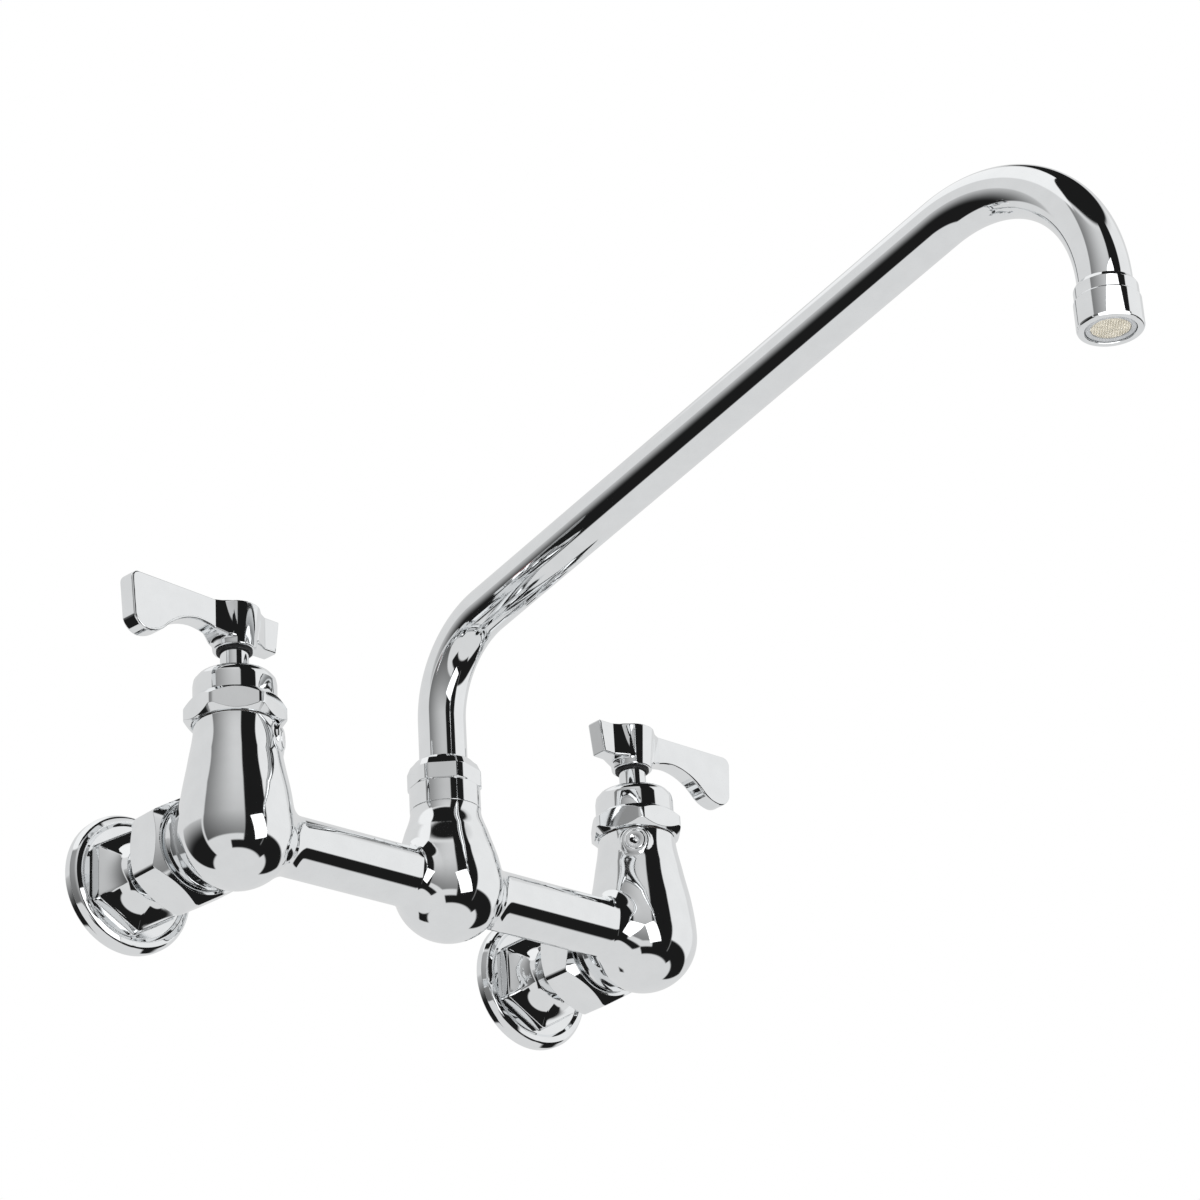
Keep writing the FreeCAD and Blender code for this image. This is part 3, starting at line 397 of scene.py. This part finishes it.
def dress(piece, material):
    piece.data.materials.clear()
    piece.data.materials.append(material)
    return piece


def dress_cad_nodes():
    slots = {part["node"]: part["material_slot"] for part in frame["record"]["subparts"]}
    for node, piece in frame["nodes"].items():
        dress(piece, SLOT_MATERIALS[slots[node]])


# ---------------------------------------------------------------- casting

BAR_RADIUS = 11.9
ARM_RADIUS = 17.6
ARM_END = 50.5
PLUG_LEVEL = 36.3
VALVE_TOP = 42.3
CENTRE_TOP = 31.5
VALVE_GIRTH = [(0, 22.0), (13, 20.9), (28, 18.1), (42.6, 15.9), (52, 15.9)]
CENTRE_GIRTH = [(0, 21.7), (10, 20.2), (21, 16.9), (31.5, 13.9), (46, 13.9)]


def girth_curve(girth):
    """Smooth radius by level through the points, with no slope at the lowest and the two highest."""
    levels = np.array([level for level, _ in girth], float)
    radii = np.array([radius for _, radius in girth], float)
    slopes = np.zeros(len(levels))
    for index in range(1, len(levels) - 2):
        before = (radii[index] - radii[index - 1]) / (levels[index] - levels[index - 1])
        after = (radii[index + 1] - radii[index]) / (levels[index + 1] - levels[index])
        slopes[index] = (before + after) / 2

    def radius_at(level):
        level = np.clip(level, levels[0], levels[-1])
        place = np.clip(np.searchsorted(levels, level, side="right") - 1, 0, len(levels) - 2)
        span = levels[place + 1] - levels[place]
        t = (level - levels[place]) / span
        return (radii[place] * (1 + 2 * t) * (1 - t) ** 2 + slopes[place] * span * t * (1 - t) ** 2
                + radii[place + 1] * t * t * (3 - 2 * t) + slopes[place + 1] * span * t * t * (t - 1))
    return radius_at


VALVE_RADIUS = girth_curve(VALVE_GIRTH)
CENTRE_RADIUS = girth_curve(CENTRE_GIRTH)


def tower_distance(x, y, z, radius_at):
    """Distance to a bottle-shaped tower at x = 0, with a ball below the bar's level."""
    level = z - BAR_Z
    outward = np.hypot(x, y - TOWER_Y)
    slope = (radius_at(level + 0.1) - radius_at(level - 0.1)) / 0.2
    side = (outward - radius_at(level)) / np.sqrt(1 + slope * slope)
    ball = np.hypot(outward, level) - radius_at(np.zeros_like(level))
    return np.where(level < 0, ball, side)


BOSS_RADIUS = 6.1
BOSS_FACE = 17.9


def boss_distance(x, y, z):
    """Boss for the plug, level, facing the front and the spout at 45 degrees."""
    forward = (-x - (y - TOWER_Y)) * math.sqrt(0.5)
    aside = np.hypot((x - (y - TOWER_Y)) * math.sqrt(0.5), z - (PLUG_LEVEL + BAR_Z))
    return round_common(aside - BOSS_RADIUS, np.maximum(forward - BOSS_FACE, -forward), 1.3)


def casting_distance(x, y, z):
    """Bar, two valve towers with rear arms and plug bosses, and the spout tower, all filleted."""
    sideways = np.abs(x) - HALF_SPACING
    bar = np.hypot(y - TOWER_Y, z - BAR_Z) - BAR_RADIUS
    bar = np.maximum(bar, np.abs(x) - HALF_SPACING)
    valve = tower_distance(sideways, y, z, VALVE_RADIUS)
    arm = np.maximum(np.hypot(sideways, z) - ARM_RADIUS, TOWER_Y - y)
    valve = round_union(valve, arm, 4.0)
    valve = round_union(valve, boss_distance(sideways, y, z), 1.2)
    centre = tower_distance(x, y, z, CENTRE_RADIUS)
    return round_union(round_union(bar, valve, 5.0), centre, 4.0)


def build_casting():
    low, high = (-126.0, -97.0, -26.5), (126.0, -45.0, 46.0)
    verts, quads, _ = skin(casting_distance, low, high, 1.0)
    planes = [
        ((0, 0, VALVE_TOP + BAR_Z), (0, 0, 1), lambda middle: abs(middle.x) > 50 and middle.z > 30),
        ((0, 0, CENTRE_TOP + BAR_Z), (0, 0, 1), lambda middle: abs(middle.x) < 50 and middle.z > 20),
        ((0, -ARM_END, 0), (0, 1, 0), lambda middle: abs(middle.x) > 50 and middle.y > -54),
    ]
    verts, faces = trim_mesh(verts, quads, planes)
    slope, _ = gradient(casting_distance, verts)
    normals = slope / np.linalg.norm(slope, axis=1)[:, None]
    casting = make_piece("casting_skin", verts, faces, "fixed", ["faucet_body"], "chrome_cast", normals)
    dress(casting, CAST_CHROME)
    for name, side in SIDES:
        x = HALF_SPACING * side
        arm = [
            (ARM_RADIUS, 51.0), (ARM_RADIUS, 50.0, 0.8), (14.8, 50.0), (14.8, 38.3, 0.5),
            (7.0, 38.3, 0.3), (7.0, 51.0),
        ]
        dress(turned_round(f"arm_end_{name}", arm, "fixed", (x, 0, 0), (0, -1, 0), slot="chrome_cast"),
              CAST_CHROME)
        rim = [(15.9, 42.0), (15.9, 42.6, 0.3), (13.0, 42.6, 0.2), (13.0, 42.0)]
        dress(turned_round(f"tower_rim_{name}", rim, "fixed", (x, TOWER_Y, BAR_Z), slot="chrome_cast"),
              CAST_CHROME)
    neck = [
        (13.9, 31.2), (13.9, CENTRE_TOP, 0.15), (12.2, CENTRE_TOP), (12.2, 44.0, 0.5),
        (10.85, 44.0), (10.85, 31.2),
    ]
    dress(turned_round("spout_thread", neck, "fixed", (0, TOWER_Y, BAR_Z), slot="chrome_cast"), CAST_CHROME)


def build_boss_plugs():
    profile = [(0.02, 15.0), (4.4, 15.0), (4.4, 18.0, 0.5), (3.7, 18.4, 0.4), (0.02, 18.6)]
    for name, side in SIDES:
        origin = (HALF_SPACING * side, TOWER_Y, PLUG_LEVEL + BAR_Z)
        plug = turned_round(f"plug_{name}", profile, "fixed", origin, (-side, -1, 0), segments=96,
                            replaces=[f"boss_plug_{name}"], slot="chrome_cast")
        dress(plug, CHROME)


# ---------------------------------------------------------------- wall connections

HEXAGON_TURN = 30.0
FLANGE_FLATS = 36.4
FLANGE_CORNER = 20.7
FLANGE_LAND = 20.8
COUPLING_FLATS = 40.0
COUPLING_CORNER = 22.7


def flange_profile(angle):
    """Rounded rim, a dish, then a hexagon whose faces curve in to a round neck."""
    hexagon = smooth_least(flat_distance(angle, FLANGE_FLATS, HEXAGON_TURN), FLANGE_CORNER, 0.5)
    points = [
        (9.9, 0.0), (27.9, 0.0, 0.6), (28.0, 3.2, 1.5), (26.6, 5.6, 1.8), (24.2, 6.4, 0.9),
        (22.6, 5.5, 0.8), (hexagon + 0.5, 5.5, 0.5), (hexagon, 8.7, 0.5), (hexagon - 0.75, 9.1, 0.5),
    ]
    start, pull, end = np.array([hexagon - 1.1, 9.3]), np.array([12.4, 12.6]), np.array([11.5, 18.5])
    for share in np.linspace(0, 1, 13):
        points.append((1 - share) ** 2 * start + 2 * share * (1 - share) * pull + share ** 2 * end)
    points += [(11.5, 33.3), (13.8, 33.3, 0.2), (13.8, 36.3, 0.3), (7.5, 36.3), (7.5, 15.0), (9.9, 15.0)]
    return soften(points)


def coupling_profile(angle):
    """Hexagon nut with both ends chamfered to a cone, so that its flats end in arcs."""
    hexagon = smooth_least(flat_distance(angle, COUPLING_FLATS, HEXAGON_TURN), COUPLING_CORNER, 0.3)
    rim = 19.0
    depth = (hexagon - rim) * 0.75
    points = [
        (11.8, 31.0, 0.2), (rim, 31.0, 0.25), (hexagon, 31.0 + depth, 0.5),
        (hexagon, 49.2 - depth, 0.5), (rim, 49.2, 0.25), (15.7, 49.2, 0.2), (15.1, 48.6),
        (15.1, 33.3), (11.8, 33.3),
    ]
    return soften(points)


def build_wall_connections():
    for name, side in SIDES:
        origin = (HALF_SPACING * side, 0, 0)
        flange = turned(f"flange_{name}", flange_profile, "fixed", origin, (0, -1, 0),
                        hexagon_angles(FLANGE_FLATS, FLANGE_LAND, HEXAGON_TURN),
                        replaces=[f"wall_flange_{name}"], slot="chrome_polished")
        dress(flange, CHROME)
        nut = turned(f"coupling_{name}", coupling_profile, "fixed", origin, (0, -1, 0),
                     hexagon_angles(COUPLING_FLATS, COUPLING_CORNER, HEXAGON_TURN),
                     replaces=[f"coupling_nut_{name}"], slot="chrome_polished")
        dress(nut, CHROME)


# ---------------------------------------------------------------- valves

BONNET_FLATS = 34.9
BONNET_CORNER = 19.6
BONNET_RIM = 17.2
BONNET_TURNS = (25.0, 55.0)


def bonnet_profile(first_corner):
    """The profile of a bonnet by angle; its hexagon is chamfered at 45 degrees at both ends."""
    def profile_at(angle):
        hexagon = smooth_least(flat_distance(angle, BONNET_FLATS, first_corner), BONNET_CORNER, 0.3)
        chamfer = hexagon - BONNET_RIM
        points = [
            (9.3, 30.4), (12.9, 30.4), (12.9, 43.0), (16.94, 43.0, 0.15), (hexagon, 43.1 + chamfer, 0.4),
            (hexagon, 52.2 - chamfer, 0.4), (16.7, 52.75, 0.4), (16.04, 53.0, 0.2), (16.04, 59.2, 0),
            (15.7, 61.2, 0), (14.3, 62.9, 0), (11.8, 63.4, 0.8), (6.3, 63.4, 0.4), (5.62, 62.6),
            (5.62, 39.0), (9.3, 39.0),
        ]
        return soften(points)
    return profile_at


def build_valves():
    for (name, side), corner in zip(SIDES, BONNET_TURNS):
        origin = (HALF_SPACING * side, TOWER_Y, BAR_Z)
        bonnet = turned(f"bonnet_{name}", bonnet_profile(corner), "fixed", origin, (0, 0, 1),
                        hexagon_angles(BONNET_FLATS, BONNET_CORNER, corner),
                        replaces=[f"valve_bonnet_{name}"], slot="chrome_polished")
        dress(bonnet, CHROME)
        stem = [
            (0.02, 19.6), (9.2, 19.6, 0.2), (9.2, 24.2, 0.2), (5.0, 24.2), (5.0, 45.5), (5.52, 45.5),
            (5.52, 51.5), (4.2, 51.5), (4.2, 53.1), (5.52, 53.1), (5.52, 75.6, 0.3), (5.1, 76.0),
            (4.4, 76.0), (4.4, 85.3, 0.3), (1.8, 85.3), (1.8, 76.5), (0.02, 76.5),
        ]
        spindle = turned_round(f"stem_{name}", stem, f"lever_{name}", origin, segments=96,
                               replaces=[f"spindle_{name}"], slot="bare_brass")
        dress(spindle, CHROME)


# ---------------------------------------------------------------- handles

def arc_points(start, end, radius, steps=10):
    """Points along the minor arc; a positive radius turns to the left."""
    start, end = np.array(start, float), np.array(end, float)
    chord = end - start
    half = np.linalg.norm(chord) / 2
    left = np.array([-chord[1], chord[0]]) / (2 * half) * math.copysign(1, radius)
    centre = (start + end) / 2 + left * math.sqrt(max(radius * radius - half * half, 0))
    first = math.atan2(*(start - centre)[::-1])
    last = math.atan2(*(end - centre)[::-1])
    sweep = (last - first + math.pi) % (2 * math.pi) - math.pi
    return [centre + abs(radius) * np.array([math.cos(first + sweep * step / steps),
                                             math.sin(first + sweep * step / steps)])
            for step in range(1, steps + 1)]


def outline_points(steps):
    """Points of a closed outline. A step is (x, z), or (x, z, radius) where an arc leads to it."""
    points = [np.array(steps[0][:2], float)]
    for step in list(steps[1:]) + [steps[0][:2]]:
        if len(step) > 2:
            points += arc_points(points[-1], step[:2], step[2])
        else:
            points.append(np.array(step[:2], float))
    return np.array(points[:-1])


HANDLE_TOP = 91.3
HANDLE_BOTTOM = 74.0
HANDLE_TURNS = (185.0, 0.0)
BLADE_HALF = 3.8
HUB_RADIUS = 8.3
HUB_FLARE = 1.9
BLADE_SIDE = outline_points([
    (-20.0, HANDLE_TOP), (-18.2, HANDLE_TOP - 13.9), (-8.0, HANDLE_TOP - 14.2),
    (8.0, HANDLE_TOP - 14.4), (20.5, HANDLE_TOP - 11.2, -24.0), (36.0, HANDLE_TOP - 18.3, -24.0),
    (45.5, HANDLE_TOP - 23.0, 14.0), (52.1, HANDLE_TOP - 18.2, 7.4), (53.3, HANDLE_TOP - 3.4),
    (49.9, HANDLE_TOP, 3.4),
])


def handle_distance(x, y, z):
    """Flat lever blade that swells into a flared round hub."""
    reach = np.abs(x)
    half = BLADE_HALF + 0.5 * np.clip(12.6 - reach, 0, 6.0)
    side = outline_distance(x, z, BLADE_SIDE)
    blade = round_common(side, np.abs(y) - half, 0.9)
    height = HANDLE_TOP - HANDLE_BOTTOM
    hub = np.hypot(x, y) - (HUB_RADIUS + HUB_FLARE * (z - HANDLE_BOTTOM) / height)
    hub = round_common(hub, np.abs(z - HANDLE_BOTTOM - height / 2) - height / 2, 0.5)
    return round_union(blade, hub, 0.8)


def build_handles():
    verts, quads, normals = skin(handle_distance, (-22.5, -12.5, 66.0), (56.0, 12.5, 93.5), 0.5)
    for (name, side), turn in zip(SIDES, HANDLE_TURNS):
        spin = np.array(Matrix.Rotation(math.radians(turn), 3, "Z"))
        origin = np.array((HALF_SPACING * side, TOWER_Y, BAR_Z))
        lever = make_piece(f"lever_skin_{name}", verts @ spin.T + origin, quads.tolist(), f"lever_{name}",
                           [f"handle_{name}"], "chrome_polished", normals @ spin.T)
        dress(lever, CHROME)
        socket = [(5.62, 73.2), (7.0, 73.2, 0.3), (7.0, 74.4), (5.62, 74.4)]
        ring = turned_round(f"socket_ring_{name}", socket, f"lever_{name}", tuple(origin), segments=96,
                            slot="black_rubber")
        dress(ring, RUBBER)


# ---------------------------------------------------------------- spout

RISE_LEVEL = 70.6
RISE_BEND = 38.0
TOP_BEND = 58.1
RISE_ANGLE = math.radians(11.2)
REACH = 355.6
TUBE_START = 33.2
TUBE_END = 92.2
TUBE_RADIUS = 9.525
TUBE_WALL = 1.2
NUT_FLATS = 27.0
NUT_CORNER = 14.6
NUT_TURN = 17.0


def spout_line():
    """Points and directions along the tube's centre line, as (forward, level)."""
    places, directions = [], []

    def straight(start, end, steps):
        start, end = np.array(start), np.array(end)
        heading = (end - start) / np.linalg.norm(end - start)
        for step in range(steps):
            places.append(start + (end - start) * step / steps)
            directions.append(heading)

    def bend(centre, radius, first, last, steps):
        for step in range(steps):
            angle = first + (last - first) * step / steps
            places.append(np.array(centre) + radius * np.array([math.cos(angle), math.sin(angle)]))
            directions.append(np.array([math.sin(angle), -math.cos(angle)]))

    low_centre = (RISE_BEND, RISE_LEVEL)
    run_start = (RISE_BEND * (1 - math.sin(RISE_ANGLE)), RISE_LEVEL + RISE_BEND * math.cos(RISE_ANGLE))
    end_x = REACH - TOP_BEND - TOP_BEND * math.sin(RISE_ANGLE)
    end_z = run_start[1] + (end_x - run_start[0]) * math.tan(RISE_ANGLE)
    top_centre = (REACH - TOP_BEND, end_z - TOP_BEND * math.cos(RISE_ANGLE))
    straight((0.0, TUBE_START), (0.0, RISE_LEVEL), 8)
    bend(low_centre, RISE_BEND, math.pi, math.pi / 2 + RISE_ANGLE, 40)
    straight(run_start, (end_x, end_z), 40)
    bend(top_centre, TOP_BEND, math.pi / 2 + RISE_ANGLE, 0.0, 64)
    straight((REACH, top_centre[1]), (REACH, TUBE_END), 6)
    places.append(np.array((REACH, TUBE_END)))
    directions.append(np.array((0.0, -1.0)))
    return np.array(places), np.array(directions)


def build_spout_tube():
    """A hollow tube swept along the centre line, with exact normals on its wall."""
    places, directions = spout_line()
    segments = 128
    turn = np.linspace(0, 2 * math.pi, segments + 1)[:-1]
    rings, normals = [], []
    for radius in (TUBE_RADIUS, TUBE_RADIUS - TUBE_WALL):
        for place, heading in zip(places, directions):
            upward = np.array([-heading[1], heading[0]])
            across = np.cos(turn)
            over = np.sin(turn)
            outward = np.stack([across, -over * upward[0], over * upward[1]], 1)
            middle = np.array([0, TOWER_Y - place[0], BAR_Z + place[1]])
            rings.append(middle + outward * radius)
            normals.append(outward if radius == TUBE_RADIUS else -outward)
    count = len(places)
    faces = []
    for layer, flip in ((0, False), (1, True)):
        for ring in range(count - 1):
            start = (layer * count + ring) * segments
            for step in range(segments):
                ahead = (step + 1) % segments
                quad = (start + step, start + ahead, start + segments + ahead, start + segments + step)
                faces.append(quad[::-1] if flip else quad)
    for ring in (0, count - 1):
        outer, inner = ring * segments, (count + ring) * segments
        for step in range(segments):
            ahead = (step + 1) % segments
            quad = (outer + step, outer + ahead, inner + ahead, inner + step)
            faces.append(quad if ring else quad[::-1])
    tube = make_piece("spout_pipe", np.concatenate(rings), faces, "spout", ["spout_tube"],
                      "chrome_polished", np.concatenate(normals))
    dress(tube, CHROME)


def spout_nut_profile(angle):
    hexagon = smooth_least(flat_distance(angle, NUT_FLATS, NUT_TURN), NUT_CORNER, 0.25)
    points = [
        (12.35, 31.6), (14.0, 31.6, 0.3), (14.0, 40.6, 0.3), (min(hexagon, 14.0) - 0.1, 41.0, 0.2),
        (hexagon, 41.4, 0.3), (hexagon, 47.6, 0.6), (hexagon - 1.3, 50.6, 1.0), (11.6, 51.9, 0.8),
        (10.3, 52.2, 0.3), (9.85, 51.6), (9.85, 48.2), (12.35, 48.2),
    ]
    return soften(points)


def build_spout_nut():
    nut = turned("swivel_nut", spout_nut_profile, "fixed", (0, TOWER_Y, BAR_Z), (0, 0, 1),
                 hexagon_angles(NUT_FLATS, NUT_CORNER, NUT_TURN), replaces=["spout_nut"],
                 slot="chrome_polished")
    dress(nut, CHROME)


def build_aerator():
    origin = (0, TOWER_Y - REACH, BAR_Z)
    housing = [
        (8.9, 82.4, 0.4), (11.2, 82.4, 0.7), (11.6, 83.4, 0.4), (11.6, 93.2, 0.25), (11.1, 93.7, 0.2),
        (11.1, 98.0, 0.5), (10.3, 99.5, 0.5), (9.7, 99.8, 0.1), (9.62, 99.4), (9.62, 83.8), (8.9, 83.8),
    ]
    dress(turned_round("aerator_sleeve", housing, "spout", origin, replaces=["aerator_housing"],
                       slot="chrome_polished"), CHROME)
    insert = [
        (6.9, 83.0, 0.2), (7.7, 82.7, 0.3), (8.7, 82.9, 0.3), (8.7, 83.8), (9.4, 83.8), (9.4, 90.6),
        (7.0, 90.6), (7.0, 84.6),
    ]
    dress(turned_round("aerator_ring", insert, "spout", origin, segments=120,
                       replaces=["aerator_insert"], slot="grey_plastic"), GREY_PLASTIC)
    build_screen(origin)


def build_screen(origin):
    """Woven wire screen: two crossed layers of wires that pass over and under each other."""
    reach, pitch, wire = 6.9, 0.62, 0.19
    level, height = 83.55, 0.12
    verts, faces = [], []
    lines = np.arange(-reach + 0.3, reach - 0.2, pitch)
    for direction in (0, 1):
        for number, offset in enumerate(lines):
            half = math.sqrt(reach * reach - offset * offset)
            along = np.arange(-half, half, pitch / 4)
            start = len(verts)
            for place in along:
                phase = (place - lines[0]) / pitch + number + direction
                middle = np.array([place, offset, level + height * math.cos(math.pi * phase)])
                for corner in range(4):
                    angle = math.pi / 2 * corner
                    point = middle + np.array([0, wire * math.cos(angle), wire * math.sin(angle)])
                    verts.append(point[[1, 0, 2]] if direction else point)
            for ring in range(len(along) - 1):
                base = start + ring * 4
                for corner in range(4):
                    ahead = (corner + 1) % 4
                    faces.append((base + corner, base + ahead, base + 4 + ahead, base + 4 + corner))
    screen = make_piece("screen_wires", np.array(verts) + np.array(origin), faces, "spout",
                        ["aerator_screen"], "steel", weighted=False)
    dress(screen, MESH_STEEL)


# ---------------------------------------------------------------- studio

CAMERA_PLACE = (-0.869529, -1.104579, -0.534357)
CAMERA_TURN = 42.8839
CAMERA_RISE = 25.8175
CAMERA_ROLL = 3.5071
CAMERA_SENSOR = 36.0
CAMERA_LENS = 111.6675
FLOOR_LEVEL = -1.3
FLOOR_REACH = 6.0
SURROUND = 0.72
BLACK = 0.012
EDGE = 2.0


def add_camera():
    turn, rise, roll = (math.radians(value) for value in (CAMERA_TURN, CAMERA_RISE, CAMERA_ROLL))
    forward = Vector((math.sin(turn) * math.cos(rise), math.cos(turn) * math.cos(rise), math.sin(rise)))
    right = Vector((math.cos(turn), -math.sin(turn), 0))
    down = forward.cross(right)
    image_right = right * math.cos(roll) + down * math.sin(roll)
    image_down = down * math.cos(roll) - right * math.sin(roll)
    data = bpy.data.cameras.new("camera")
    data.lens = CAMERA_LENS
    data.sensor_width = CAMERA_SENSOR
    data.clip_start = 0.01
    camera = bpy.data.objects.new("camera", data)
    axes = Matrix((image_right, -image_down, -forward)).transposed().to_4x4()
    camera.matrix_world = Matrix.Translation(CAMERA_PLACE) @ axes
    bpy.context.scene.collection.objects.link(camera)
    bpy.context.scene.camera = camera


def add_soft_box(name, place, target, size, radiance, roll, reflected):
    """An area light of even brightness that the camera doesn't see; sizes and places in metres."""
    data = bpy.data.lights.new(name, "AREA")
    data.shape = "RECTANGLE"
    data.size, data.size_y = size
    data.energy = radiance * math.pi * size[0] * size[1]
    lamp = bpy.data.objects.new(name, data)
    lamp.location = place
    aim = (Vector(target) - Vector(place)).to_track_quat("-Z", "Y")
    lamp.rotation_euler = (aim.to_matrix() @ Matrix.Rotation(math.radians(roll), 3, "Z")).to_euler()
    lamp.visible_camera = False
    lamp.visible_glossy = reflected
    bpy.context.scene.collection.objects.link(lamp)


def add_floor():
    material = plain_material("pale_floor", (0.82, 0.82, 0.82), (0.83, 0.83, 0.825), 0.0, 0.7, 0.9, 4, 0.02)
    work = bmesh.new()
    bmesh.ops.create_grid(work, x_segments=8, y_segments=8, size=FLOOR_REACH)
    mesh = bpy.data.meshes.new("studio_floor")
    work.to_mesh(mesh)
    work.free()
    floor = bpy.data.objects.new("studio_floor", mesh)
    floor.location.z = FLOOR_LEVEL
    floor.visible_glossy = False
    bpy.context.scene.collection.objects.link(floor)
    dress(floor, material)


class SkyNodes:
    """The studio's surroundings as brightness by direction: azimuth and elevation in degrees.
    Azimuth 0 is the camera's side, and positive azimuths turn to the right of the picture."""

    def __init__(self, tree):
        self.tree = tree
        place = tree.nodes.new("ShaderNodeTexCoord")
        turn = tree.nodes.new("ShaderNodeMapping")
        turn.vector_type = "NORMAL"
        turn.inputs["Rotation"].default_value = (0, 0, math.radians(90 + CAMERA_TURN))
        tree.links.new(place.outputs["Generated"], turn.inputs["Vector"])
        split = tree.nodes.new("ShaderNodeSeparateXYZ")
        tree.links.new(turn.outputs["Vector"], split.inputs["Vector"])
        self.azimuth = self.degrees(self.maths("ARCTAN2", split.outputs["Y"], split.outputs["X"]))
        self.elevation = self.degrees(self.maths("ARCSINE", split.outputs["Z"]))

    def feed(self, sockets, values):
        """Sets each socket to its number, or links its node output to it."""
        for socket, value in zip(sockets, values):
            if isinstance(value, (int, float)):
                socket.default_value = value
            else:
                self.tree.links.new(value, socket)

    def maths(self, kind, *inputs):
        node = self.tree.nodes.new("ShaderNodeMath")
        node.operation = kind
        self.feed(node.inputs, inputs)
        return node.outputs[0]

    def degrees(self, value):
        return self.maths("MULTIPLY", value, 180 / math.pi)

    def rise(self, value, start, end, low=0.0, high=1.0):
        """Changes smoothly from low to high while the value goes from start to end."""
        node = self.tree.nodes.new("ShaderNodeMapRange")
        node.interpolation_type = "SMOOTHSTEP"
        node.inputs["From Min"].default_value = start
        node.inputs["From Max"].default_value = end
        node.inputs["To Min"].default_value = low
        node.inputs["To Max"].default_value = high
        self.tree.links.new(value, node.inputs["Value"])
        return node.outputs["Result"]

    def window(self, value, low, high):
        """One between the two limits and none outside them, with soft edges."""
        return self.maths("MULTIPLY", self.rise(value, low - EDGE, low + EDGE),
                          self.rise(value, high - EDGE, high + EDGE, 1.0, 0.0))

    def lay(self, under, over, azimuths, elevations):
        """Lays a soft-edged panel of brightness over what is there."""
        inside = self.maths("MULTIPLY", self.window(self.azimuth, *azimuths),
                            self.window(self.elevation, *elevations))
        mix = self.tree.nodes.new("ShaderNodeMix")
        self.feed((mix.inputs["Factor"], mix.inputs["A"], mix.inputs["B"]), (inside, under, over))
        return mix.outputs["Result"]


def add_world():
    """Light panels with dark gaps between them, which chrome reflects; the camera sees only white."""
    world = bpy.data.worlds.new("studio")
    world.use_nodes = True
    bpy.context.scene.world = world
    tree = world.node_tree
    sky = SkyNodes(tree)
    panel = sky.maths("MULTIPLY", sky.rise(sky.azimuth, -75, 10, 0.14, 0.48),
                      sky.rise(sky.elevation, -35, 50, 0.45, 1.38))
    side = sky.rise(sky.elevation, -16, 26, BLACK, 0.6)
    level = SURROUND
    for over, azimuths, elevations in (
        (BLACK, (-8, 92), (-52, -36)),      # in front, low
        (panel, (-60, 22), (-24, 50)),      # large panel in front, brighter to the right and up
        (0.95, (-172, -50), (48, 95)),      # overhead panel on the left
        (BLACK, (-50, 185), (54, 95)),      # the rest of the ceiling
        (BLACK, (22, 66), (-44, 58)),       # gap between the front and right panels
        (0.86, (66, 130), (-14, 50)),       # right panel
        (BLACK, (66, 150), (-44, -14)),     # below the right panel
        (side, (-118, -64), (-52, 16)),     # left side, dark low and lighter up
    ):
        level = sky.lay(level, over, azimuths, elevations)
    rays = tree.nodes.new("ShaderNodeLightPath")
    shown = tree.nodes.new("ShaderNodeMix")
    tree.links.new(rays.outputs["Is Camera Ray"], shown.inputs["Factor"])
    tree.links.new(level, shown.inputs["A"])
    shown.inputs["B"].default_value = 1.0
    backdrop = tree.nodes["Background"]
    tree.links.new(shown.outputs["Result"], backdrop.inputs["Color"])


def add_studio():
    add_world()
    add_soft_box("fill_card", place=(-0.042, -0.447, -0.042), target=(0, -0.072, 0.0),
                 size=(0.175, 0.30), radiance=1.5, roll=20, reflected=True)
    add_soft_box("overhead", place=(0, 0, 1.6), target=(0, 0, 0),
                 size=(14.0, 14.0), radiance=0.5, roll=0, reflected=False)
    bpy.context.scene.view_settings.view_transform = "Standard"


# ---------------------------------------------------------------- assembly

dress_cad_nodes()
build_casting()
build_boss_plugs()
build_wall_connections()
build_valves()
build_handles()
build_spout_tube()
build_spout_nut()
build_aerator()
add_camera()
add_floor()
add_studio()
